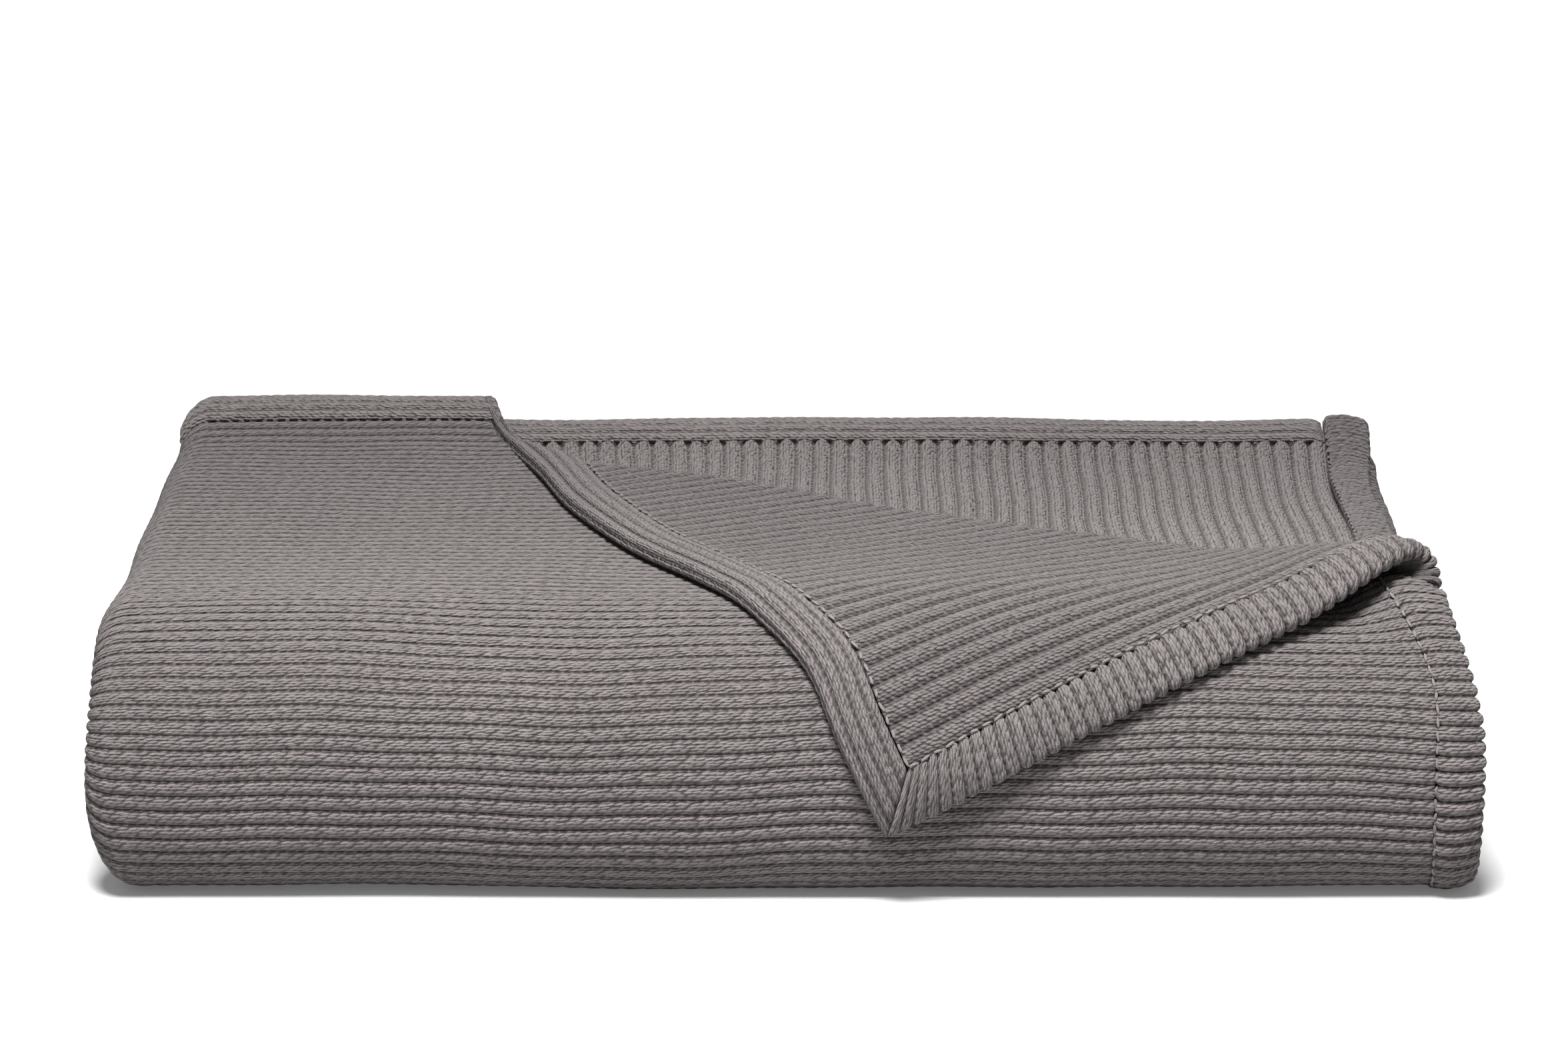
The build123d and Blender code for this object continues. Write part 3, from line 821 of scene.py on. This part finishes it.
# %% Where the turned corner lies
left_edge = smooth_curve(
    [(32, 318), (24, 303), (16, 287), (7, 266), (-9, 243), (-30, 207), (-55, 164), (-74, 122), (-86, 82),
     (-97, 45), (-106, 20)]
)
right_edge = smooth_curve(
    [(32, 318), (57, 306), (81, 294), (105, 282), (130, 269), (152, 257), (173, 246), (193, 233), (213, 218)]
)
tip = left_edge(0.0)
corner_lift = 6.6
loop_lift = 11.0


def corner_map(from_side, from_end):
    """Place on the stack of a point of the corner, by its distances from the side hem and the end hem."""
    return left_edge(from_side) + right_edge(from_end) - tip


def beside_fold(point):
    """Nearest place on the fold line, the direction forwards from it, and the distance that way."""
    line = fold_line.line[::2]
    tangent = np.gradient(line, axis=0)
    tangent /= np.linalg.norm(tangent, axis=1, keepdims=True)
    flat = point.reshape(-1, 2)
    nearest = np.concatenate(
        [np.argmin(((part[:, None] - line[None]) ** 2).sum(-1), 1) for part in np.array_split(flat, 64)]
    )
    forward = np.stack([-tangent[:, 1], tangent[:, 0]], -1)[nearest]
    foot = line[nearest]
    distance = ((flat - foot) * forward).sum(-1)
    slide = ((flat - foot) * tangent[nearest]).sum(-1)
    foot = foot + slide[:, None] * tangent[nearest]
    return foot.reshape(point.shape), forward.reshape(point.shape), distance.reshape(point.shape[:-1])


def loose_roll(x):
    """How much the roll at the fold line is raised at x, and how high its lower side lies."""
    return loop_lift * smooth((x - 135) / 75), ply_lift(x + 10)


def corner_place(from_side, from_end, depth):
    """A point of the turned corner, depth millimetres below its upper surface."""
    from_side, from_end, depth = np.broadcast_arrays(*(np.asarray(v, float) for v in (from_side, from_end, depth)))
    foot, forward, ahead = beside_fold(corner_map(from_side, from_end))
    loose, below = loose_roll(foot[..., 0])
    loose = loose * np.exp(-((ahead.clip(0) / 38) ** 2))
    start = smooth((foot[..., 0] + 112) / 40)
    level = corner_lift * (0.35 + 0.65 * start) + loose
    radius = (level + ply_mm - below) / 2
    centre = (level - ply_mm + below) / 2
    angle = np.clip(-ahead / radius, 0, math.pi)
    lift = np.where(ahead > 0, level - depth, centre + (radius - depth) * np.cos(angle))
    reach = np.where(ahead > 0, ahead, -(radius - depth) * np.sin(angle))
    spot = foot + forward * reach[..., None]
    x, s = spot[..., 0], spot[..., 1]
    y, z = path(t_of(s), 0.0)
    up_y, up_z = outward(s)
    lift = lift + uneven(x, s)
    return np.stack([x, y + up_y * lift, z + up_z * lift], -1)


# %% How far the corner's cloth reaches before and round the fold line
def reach_to(from_side, turned):
    """Distance from the end hem at which the cloth has turned this far round the roll, in radians."""
    tries = np.linspace(0, 330, 661)
    grid = corner_map(from_side[:, None], tries[None])
    foot, _, ahead = beside_fold(grid)
    loose, below = loose_roll(foot[..., 0])
    radius = (corner_lift + loose + ply_mm - below) / 2
    return tries[np.argmax(-ahead / radius > turned, axis=1)]


band_width = 16.5
sides = rib_rows(0, 52, under_pitch, band_width)
fold_reach = reach_to(sides, 0.2)
end_reach = reach_to(sides, 2.9)
open_sides = fold_reach > band_width + 1.0
sides = sides[: np.argmin(open_sides) if not open_sides.all() else len(sides)]
print(f"the corner's cloth is {sides[-1]:.0f} mm long on its left side")


def between(side, row, low, high):
    low_s, high_s = (np.interp(side, sides, v[: len(sides)]) if np.ndim(v) else v for v in (low, high))
    return low_s + row * (high_s - low_s)


def corner_cloth(name, first, last, low, high, rows, step=(12, 12)):
    """A stretch of the corner's cloth between two ribs, from one distance to another."""
    chosen = sides[(sides >= first - 0.01) & (sides <= last + 0.01)]
    bend = lambda a, e: a + 0.5 * np.sin(e / 27 + a / 60) * smooth((a - band_width) / 10)
    piece = slab(
        name, chosen, np.linspace(0, 1, rows),
        lambda a, r, d: corner_place(bend(a, between(a, r, low, high)), between(a, r, low, high), d * ply_mm),
        lambda a, r: a - band_width, lambda a, r: between(a, r, low, high), inner_step=step,
    )
    return run_tree(piece, ribs, flap_look, {**under_ribs, "Rib height": 1.3})


bend_side = band_width + 13 * under_pitch
last_side = sides[-1]
corner_cloth_piece = corner_cloth("corner_cloth", bend_side, last_side, band_width, fold_reach, 121)
tip_cloth = corner_cloth("corner_tip_cloth", band_width, bend_side, band_width, fold_reach, 141)
roll_cloth = corner_cloth("corner_roll_cloth", band_width, last_side, fold_reach, end_reach, 17, (12, 4))

# %% [markdown]
# The corner's two hems meet at the tip in a mitre: each stops on the diagonal, where both dip to a seam.
# The left band's ribs run along it, and the right band's ribs cross it. Past the fold line the right
# band carries on round the loose roll, back to the side hem that it came from.

# %% Hems of the corner
def mitred(run, offset):
    """How far along a band a point is, when the band starts on the diagonal."""
    return run + (band_width - offset).clip(0) * np.exp(-run / 25)


def mitre_dip(run, depth):
    return depth + 1.3 * np.exp(-((run / 1.5) ** 2)) * (depth < 3)


left_section = band_section(band_width, crown=1.3, thick=5.8)
right_section = band_section(band_width, crown=1.5, thick=5.8)


def left_band(name, runs):
    place = lambda r, o, d: corner_place(mitred(r, o), band_width - o, mitre_dip(r, d))
    piece = band(name, runs, left_section, place, lambda r, g: g, lambda r, g: r)
    return run_tree(piece, ribs, face_hem, long_ribs)


def right_band(name, runs):
    place = lambda r, o, d: corner_place(band_width - o, mitred(r, o), mitre_dip(r, d))
    piece = band(name, runs, right_section, place, lambda r, g: r, lambda r, g: g)
    return run_tree(piece, ribs, cross_hem, cross_ribs)


left_total = left_edge.total
left_cut = 130.0
tip_left_band = left_band("corner_tip_left_band", np.arange(0, left_cut + 0.1, 1.0))
left_rest = left_band("corner_left_band", np.linspace(left_cut, left_total + 15, 226))
middle_band = band_width / 2
loop_end = int(reach_to(np.array([middle_band]), 3.0)[0] / pitch)
right_runs = rib_rows(0, loop_end, pitch)
loop_start = 38 * pitch
tip_right_band = right_band("corner_tip_right_band", right_runs[right_runs < loop_start + 0.01])
loop_band = right_band("corner_loop_band", right_runs[right_runs > loop_start - 0.01])

# %% [markdown]
# ## What lies inside and underneath
# The rest of the top column goes on under the stack, round the fold at the lower back and up inside. The
# other three columns follow it, one inside the other. They show only at the edges, so they carry ribs
# where their edges turn and are plain slabs in between.

# %% Underneath, and the plies inside
ring_s = s_of(4.0)
last_s = s_table[-1] - hem_seam
under_rib = int((s_of(5.0) - hem_seam) / pitch) + 3
under_rows = rib_rows(floor_rib, under_rib, pitch, hem_seam, (0, 0.12, 0.5, 0.85))
wide_columns = np.linspace(left_flat - turn_length, seam_x, 121)
under_cloth = slab("under_cloth", under_rows, wide_columns, lambda s, c, d: face_place(c, s, d),
                   lambda s, c: s - hem_seam, lambda s, c: c, inner_step=(12, 6))
run_tree(under_cloth, ribs, face_cloth, face_ribs)


def plain_ply(name, ply, first_s, right_x, material):
    """A whole column of cloth inside the stack, as a plain slab along the way to its inner hem."""
    rows = np.linspace(first_s, last_s, 161)
    columns = np.linspace(-half_width + 14, right_x, 25)
    piece = slab(name, rows, columns, lambda s, c, d: stack_place(c, s, ply + 0.04 + d), lambda s, c: s,
                 lambda s, c: c, relief=0.0, inner_step=(1, 6), thickness=0.9)
    piece.data.materials.append(material)
    return piece


inner_a = plain_ply("inner_ply_a", 0, under_rows[-1], seam_x, plain_cloth)
inner_b = plain_ply("inner_ply_b", 1, float(fold_at(seam_x)), seam_x - 8, under_cloth_look)
inner_c = plain_ply("inner_ply_c", 2, hem_seam, half_width - 14, plain_cloth)
inner_d = plain_ply("inner_ply_d", 3, hem_seam, half_width - 14, under_cloth_look)

# %% [markdown]
# ## Side folds
# On the left, the first column turns round the other two and becomes the fourth; on the right, the third
# turns into the fourth. Each fold is one long strip that goes the whole way round with its plies, and the
# ribs of the face run round it.

# %% Side folds
fold_angle = np.linspace(0, 1, 13)


def side_fold(name, side, first, span, start_s, end_s, parts=(0, 0.15, 0.5, 0.85)):
    begin = math.ceil((start_s - hem_seam) / pitch)
    rows = rib_rows(begin, int((end_s - hem_seam) / pitch), pitch, hem_seam, parts)

    def place(s, k, depth):
        u = side * (half_width - turn_radius - 0.5 + (turn_length + 0.5) * k)
        return stack_place(u, s + wander(u, s), depth * 0.93, first, span, side)

    piece = slab(name, rows, fold_angle, place, lambda s, k: s - hem_seam, lambda s, k: k * turn_length * span / 4,
                 inner_step=(8, 3))
    return run_tree(piece, ribs, face_cloth, {**face_ribs, "Rib height": 1.1})


left_fold = side_fold("left_fold_strip", -1, 0, 4, under_rows[-1], last_s)
left_fold_inside = side_fold("left_fold_inside_strip", -1, 1, 2, hem_seam, last_s, (0, 0.5))
right_fold = side_fold("right_fold_strip", 1, 2, 2, hem_seam, last_s)

# %% [markdown]
# ## Sewing
# Each hem is held by a row of small stitches along its seam. One stitch is a few faces, a tree places it
# at every point of the seam, turned along it, and a fixed seed tilts each a little.

# %% The stitch tree
def stitch_tree():
    tree = bpy.data.node_groups.new("sew stitches", "GeometryNodeTree")
    new_socket(tree, "Geometry", "NodeSocketGeometry")
    for name, value in (("Stitch length", 3.4), ("Stitch width", 1.1), ("Untidiness", 0.16)):
        new_socket(tree, name, "NodeSocketFloat", value=value)
    new_socket(tree, "Seed", "NodeSocketInt", value=7)
    new_socket(tree, "Cloth", "NodeSocketMaterial")
    new_socket(tree, "Geometry", "NodeSocketGeometry", "OUTPUT")
    given = tree.nodes.new("NodeGroupInput").outputs
    calc = calculator(tree)
    stitch = tree.nodes.new("GeometryNodeMeshIcoSphere")
    stitch.inputs["Radius"].default_value = MM / 2
    stitch.inputs["Subdivisions"].default_value = 2
    turn = tree.nodes.new("FunctionNodeAlignRotationToVector")
    turn.axis = "Z"
    tree.links.new(read_field(tree, "out", "FLOAT_VECTOR"), turn.inputs["Vector"])
    along = tree.nodes.new("FunctionNodeAlignRotationToVector")
    along.axis, along.pivot_axis = "X", "Z"
    tree.links.new(turn.outputs[0], along.inputs["Rotation"])
    tree.links.new(read_field(tree, "run", "FLOAT_VECTOR"), along.inputs["Vector"])
    size = tree.nodes.new("ShaderNodeCombineXYZ")
    random = tree.nodes.new("FunctionNodeRandomValue")
    random.data_type = "FLOAT"
    value_in = [i for i in random.inputs if i.enabled]
    value_in[0].default_value, value_in[1].default_value = 0.8, 1.15
    tree.links.new(given["Seed"], [i for i in random.inputs if i.name == "Seed"][0])
    chance = [o for o in random.outputs if o.enabled][0]
    tree.links.new(calc("MULTIPLY", given["Stitch length"], chance), size.inputs[0])
    tree.links.new(given["Stitch width"], size.inputs[1])
    tree.links.new(calc("MULTIPLY", given["Stitch width"], 0.8), size.inputs[2])
    tilt = tree.nodes.new("FunctionNodeRotateRotation")
    tilt.rotation_space = "LOCAL"
    tree.links.new(along.outputs[0], tilt.inputs[0])
    angle = tree.nodes.new("FunctionNodeEulerToRotation")
    spin = tree.nodes.new("ShaderNodeCombineXYZ")
    turned = calc("MULTIPLY", calc("SUBTRACT", chance, 0.97), calc("MULTIPLY", given["Untidiness"], 8.0))
    tree.links.new(turned, spin.inputs[2])
    tree.links.new(spin.outputs[0], angle.inputs[0])
    tree.links.new(angle.outputs[0], tilt.inputs[1])
    put = tree.nodes.new("GeometryNodeInstanceOnPoints")
    tree.links.new(given["Geometry"], put.inputs["Points"])
    tree.links.new(stitch.outputs["Mesh"], put.inputs["Instance"])
    tree.links.new(tilt.outputs[0], put.inputs["Rotation"])
    tree.links.new(size.outputs[0], put.inputs["Scale"])
    return finish_tree(tree, given, put)


sewing = stitch_tree()


def sew(name, seams, sizes):
    """A row of stitches along each seam, given as a function of length and the lengths of its stitches."""
    points, runs, ways = [], [], []
    for place, lengths in seams:
        here = place(lengths, 0.0)
        forward = place(lengths + 0.5, 0.0) - here
        out = here - place(lengths, 0.5)
        points.append(here)
        runs.append(forward / np.linalg.norm(forward, axis=-1, keepdims=True))
        ways.append(out / np.linalg.norm(out, axis=-1, keepdims=True))
    points, runs, ways = (np.concatenate(v) for v in (points, runs, ways))
    mesh = bpy.data.meshes.new(name)
    mesh.from_pydata((points * MM).tolist(), [], [])
    for field, values in (("run", runs), ("out", ways)):
        layer = mesh.attributes.new(field, "FLOAT_VECTOR", "POINT").data
        layer.foreach_set("vector", values.astype(np.float32).ravel())
    piece = bpy.data.objects.new(name, mesh)
    bpy.context.scene.collection.objects.link(piece)
    return run_tree(piece, sewing, thread_look, sizes)


stitch_step = 4.3


def hem_line(ply, x, lift=0.4):
    def place(s, d):
        across = np.full(np.shape(s), x)
        points = stack_place(across, s + wander(x, s), ply - (lift - d) / ply_mm)
        return points if ply else loosened(points, across, s)

    return place


def back_line(ply, s, lift=0.6):
    return lambda x, d: stack_place(x, np.full(np.shape(x), s), ply - (lift - d) / ply_mm)


stitches = {"Stitch length": 3.3, "Stitch width": 1.0}
right_stitches = sew("right_hem_stitches", [
    (hem_line(0, seam_x + 0.4), np.arange(fold_s, ring_s, stitch_step)),
    (hem_line(second_ply, second_seam + 0.4), np.arange(hem_seam, fold_s - 20, stitch_step)),
], stitches)
back_stitches = sew("back_hem_stitches", [
    (back_line(0, hem_seam), np.arange(-half_width + 12, -104, stitch_step)),
    (back_line(second_ply, hem_seam), np.arange(-100, second_seam, stitch_step)),
], stitches)
left_line = lambda a, d: corner_place(a, band_width + 0.3, d - 0.5)
right_line = lambda e, d: corner_place(band_width + 0.3, e, d - 0.5)
left_long = np.arange(band_width + 2, last_side, stitch_step)
right_long = np.arange(band_width + 2, loop_start + 20, stitch_step)
corner_stitches = sew("corner_stitches", [(left_line, left_long[left_long > bend_side])], stitches)
tip_stitches = sew("corner_tip_stitches", [
    (left_line, left_long[left_long <= bend_side]),
    (right_line, right_long),
], stitches)

# %% [markdown]
# ## What moves with what
# The stack lies still on a body of its own, and the turned corner's panel and its stitches ride on a
# second body. The tip, the roll at the fold line and the corner's left band stay where they are, on no body.

# %% Bodies
for piece in (tip_cloth, tip_left_band, tip_right_band, tip_stitches):
    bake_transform(piece)
for piece in (roll_cloth, loop_band):
    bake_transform(piece)
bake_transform(left_rest)
for piece in (corner_cloth_piece, corner_stitches):
    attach(piece, "corner")
still = [
    top_cloth, front_cloth, right_hem_a, right_hem_b, back_hem_a, back_hem_b, *inner_back_hems, second_cloth,
    under_cloth, inner_a, inner_b, inner_c, inner_d, left_fold, left_fold_inside, right_fold, right_stitches,
    back_stitches,
]
for piece in still:
    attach(piece, "stack")

# %% [markdown]
# Each piece is listed with the plain CAD solids it stands for, and those solids are hidden.

# %% CAD solids that the pieces stand for
stands_for = {
    top_cloth: ["ply_01"],
    front_cloth: ["front_fold_1"],
    under_cloth: ["ply_16", "back_fold_1"],
    second_cloth: ["ply_02"],
    inner_a: ["ply_09", "front_fold_8", "ply_08"],
    inner_b: ["front_fold_2", "ply_15", "back_fold_2", "ply_10", "front_fold_7", "ply_07"],
    inner_c: ["ply_03", "front_fold_3", "ply_14", "back_fold_3", "ply_11", "front_fold_6", "ply_06"],
    inner_d: ["ply_04", "front_fold_4", "ply_13", "back_fold_4", "ply_12", "front_fold_5", "ply_05"],
    left_fold: ["left_fold_outer"],
    left_fold_inside: ["left_fold_inner"],
    right_fold: ["right_fold"],
    back_hem_a: ["back_hem_1", "back_hem_turn"],
    back_hem_b: ["back_hem_2"],
    right_hem_a: ["right_hem_1", "right_hem_4"],
    right_hem_b: ["right_hem_2", "right_hem_3"],
    right_stitches: ["right_hem_thread"],
    back_stitches: ["back_hem_thread"],
    corner_cloth_piece: ["corner_panel"],
    roll_cloth: ["corner_roll"],
    tip_cloth: ["corner_tip_panel"],
    left_rest: ["corner_left_hem"],
    loop_band: ["corner_right_hem"],
    tip_left_band: ["corner_tip_left_hem"],
    tip_right_band: ["corner_tip_right_hem"],
    corner_stitches: ["corner_thread"],
    tip_stitches: ["corner_tip_thread"],
}
for ply, piece in enumerate(inner_back_hems, 3):
    stands_for[piece] = [f"back_hem_{ply}"]
for piece, nodes in stands_for.items():
    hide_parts(*nodes)
    kind = "thread" if "stitches" in piece.name else "hem" if "hem" in piece.name or "band" in piece.name else "cloth"
print("CAD nodes stood for:", sum(len(nodes) for nodes in stands_for.values()), "of", len(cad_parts))

# %% [markdown]
# The size each piece of cloth was cut to is printed, with its area. The pieces are parts of one blanket,
# so a flat size here is the stretch of it that the piece shows.

# %% Flat sizes
def metres(*lengths):
    return tuple(round(float(v) * MM, 4) for v in lengths)


def sheet(piece, width, length, share=1.0, with_pieces=()):
    """share is how much of width times length the cut covers."""
    flat = metres(width, length)
    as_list(with_pieces)
    print(f"{piece.name}: {flat[0]:.3f} by {flat[1]:.3f} m, area {share * flat[0] * flat[1]:.4f} square metres")


def covered(values, most):
    """Mean of values as a share of the most."""
    return float(np.clip(values, 0, most).mean() / most)


full_width = seam_x - left_flat + turn_length
top_length = split_s - hem_seam
top_left = split_s - np.maximum(np.where(columns_full > -112, fold_at(columns_full), 0), hem_seam)
sheet(top_cloth, full_width, top_length, covered(top_left, top_length), [back_hem_a, back_stitches])
sheet(front_cloth, full_width, (floor_rib - split_rib) * pitch, 1.0, [right_hem_a, right_stitches])
sheet(under_cloth, full_width, (under_rib - floor_rib) * pitch)
shown = fold_at(second_xs) + margin - hem_seam
sheet(second_cloth, second_xs[-1] - second_xs[0], shown.max(), covered(shown, shown.max()), [back_hem_b, right_hem_b])
inner_width = 2 * half_width - 28
for piece, first_s, width, hems in (
    (inner_a, under_rows[-1], seam_x + half_width - 14, []),
    (inner_b, float(fold_at(seam_x)), seam_x + half_width - 22, []),
    (inner_c, hem_seam, inner_width, inner_back_hems[:2]),
    (inner_d, hem_seam, inner_width, inner_back_hems[2:]),
):
    sheet(piece, width, last_s - first_s, 1.0, hems)
for piece, span, first_s in (
    (left_fold, 4, under_rows[-1]), (left_fold_inside, 2, hem_seam), (right_fold, 2, hem_seam),
):
    sheet(piece, turn_length * span / 4, last_s - first_s)
for piece, first, last, low, high, extra in (
    (corner_cloth_piece, bend_side, last_side, band_width, fold_reach, [left_rest, corner_stitches]),
    (tip_cloth, band_width, bend_side, band_width, fold_reach, [tip_left_band, tip_right_band, tip_stitches]),
    (roll_cloth, band_width, last_side, fold_reach, end_reach, [loop_band]),
):
    inside = np.linspace(first, last, 60)
    lengths = between(inside, 1.0, low, high) - between(inside, 0.0, low, high)
    sheet(piece, last - first, lengths.max(), covered(lengths, lengths.max()), extra)

# %% [markdown]
# ## The studio
# A pale floor, one large soft lamp high in front, and a weak even light from all round. The floor returns
# little light to the cloth, so the front of the stack stays darker than its top, as cloth looks on a
# sweep that is lit from above. Far from the stack the floor glows a little, so it runs out to white.

# %% Floor
def add_stage():
    mesh = bpy.data.meshes.new("floor")
    far = 12.0
    mesh.from_pydata([(-far, -far, 0), (far, -far, 0), (far, far, 0), (-far, far, 0)], [], [(0, 1, 2, 3)])
    floor = bpy.data.objects.new("floor", mesh)
    bpy.context.scene.collection.objects.link(floor)
    pale = bpy.data.materials.new("pale_floor")
    pale.use_nodes = True
    nodes, links = pale.node_tree.nodes, pale.node_tree.links
    shader, output = nodes["Principled BSDF"], nodes["Material Output"]
    shader.inputs["Base Color"].default_value = (0.93, 0.93, 0.93, 1)
    shader.inputs["Roughness"].default_value = 0.9
    distance = nodes.new("ShaderNodeVectorMath")
    distance.operation = "LENGTH"
    links.new(nodes.new("ShaderNodeTexCoord").outputs["Object"], distance.inputs[0])
    far_glow = nodes.new("ShaderNodeMapRange")
    for socket, value in (("From Min", 0.3), ("From Max", 1.3), ("To Min", 0.12), ("To Max", 1.0)):
        far_glow.inputs[socket].default_value = value
    links.new(distance.outputs["Value"], far_glow.inputs["Value"])
    links.new(far_glow.outputs["Result"], shader.inputs["Emission Strength"])
    shader.inputs["Emission Color"].default_value = (1, 1, 1, 1)
    dull = nodes.new("ShaderNodeBsdfDiffuse")
    dull.inputs["Color"].default_value = (floor_return,) * 3 + (1,)
    mix = nodes.new("ShaderNodeMixShader")
    links.new(nodes.new("ShaderNodeLightPath").outputs["Is Camera Ray"], mix.inputs[0])
    links.new(dull.outputs[0], mix.inputs[1])
    links.new(shader.outputs[0], mix.inputs[2])
    links.new(mix.outputs[0], output.inputs["Surface"])
    mesh.materials.append(pale)
    floor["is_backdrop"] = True


floor_return = 0.5
add_stage()

# %% Lamp and surrounding light
def soft_light(name, place, target, size, power, beam):
    lamp = bpy.data.lights.new(name, "AREA")
    lamp.shape, lamp.size, lamp.energy, lamp.spread = "DISK", size, power, math.radians(beam)
    light = bpy.data.objects.new(name, lamp)
    bpy.context.scene.collection.objects.link(light)
    light.location = place
    light.rotation_euler = (Vector(target) - Vector(place)).to_track_quat("-Z", "Y").to_euler()


soft_light("key", (-0.1, -0.68, 1.5), (0, -0.5, 0), 0.6, 20.0, 110)
world = bpy.data.worlds.new("studio")
world.use_nodes = True
sky = world.node_tree
backdrop, ambient = sky.nodes["Background"], sky.nodes.new("ShaderNodeBackground")
backdrop.inputs["Color"].default_value = ambient.inputs["Color"].default_value = (1, 1, 1, 1)
ambient.inputs["Strength"].default_value = 0.18
seen = sky.nodes.new("ShaderNodeMixShader")
sky.links.new(sky.nodes.new("ShaderNodeLightPath").outputs["Is Camera Ray"], seen.inputs[0])
sky.links.new(ambient.outputs[0], seen.inputs[1])
sky.links.new(backdrop.outputs[0], seen.inputs[2])
sky.links.new(seen.outputs[0], sky.nodes["World Output"].inputs[0])
bpy.context.scene.world = world
bpy.context.scene.view_settings.view_transform = "Standard"

# %% [markdown]
# The camera looks from in front and a little above, with a long lens, so the edges stay nearly parallel.

# %% Camera
lens = bpy.data.cameras.new("camera")
lens.lens, lens.sensor_width = 109.3, 36.0
camera = bpy.data.objects.new("camera", lens)
camera.location = (0.0, -1.577, 0.497)
camera.rotation_euler = (math.radians(90 - 14.42), 0, 0)
bpy.context.scene.collection.objects.link(camera)
bpy.context.scene.camera = camera

# %% Sizes, and the end
visual_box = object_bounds()
for axis, low, high, cad_low, cad_high in zip("xyz", *visual_box, *cad_box):
    print(f"{axis}: {1000 * low:.1f} to {1000 * high:.1f} mm, "
          f"and the CAD model {1000 * cad_low:.1f} to {1000 * cad_high:.1f} mm")
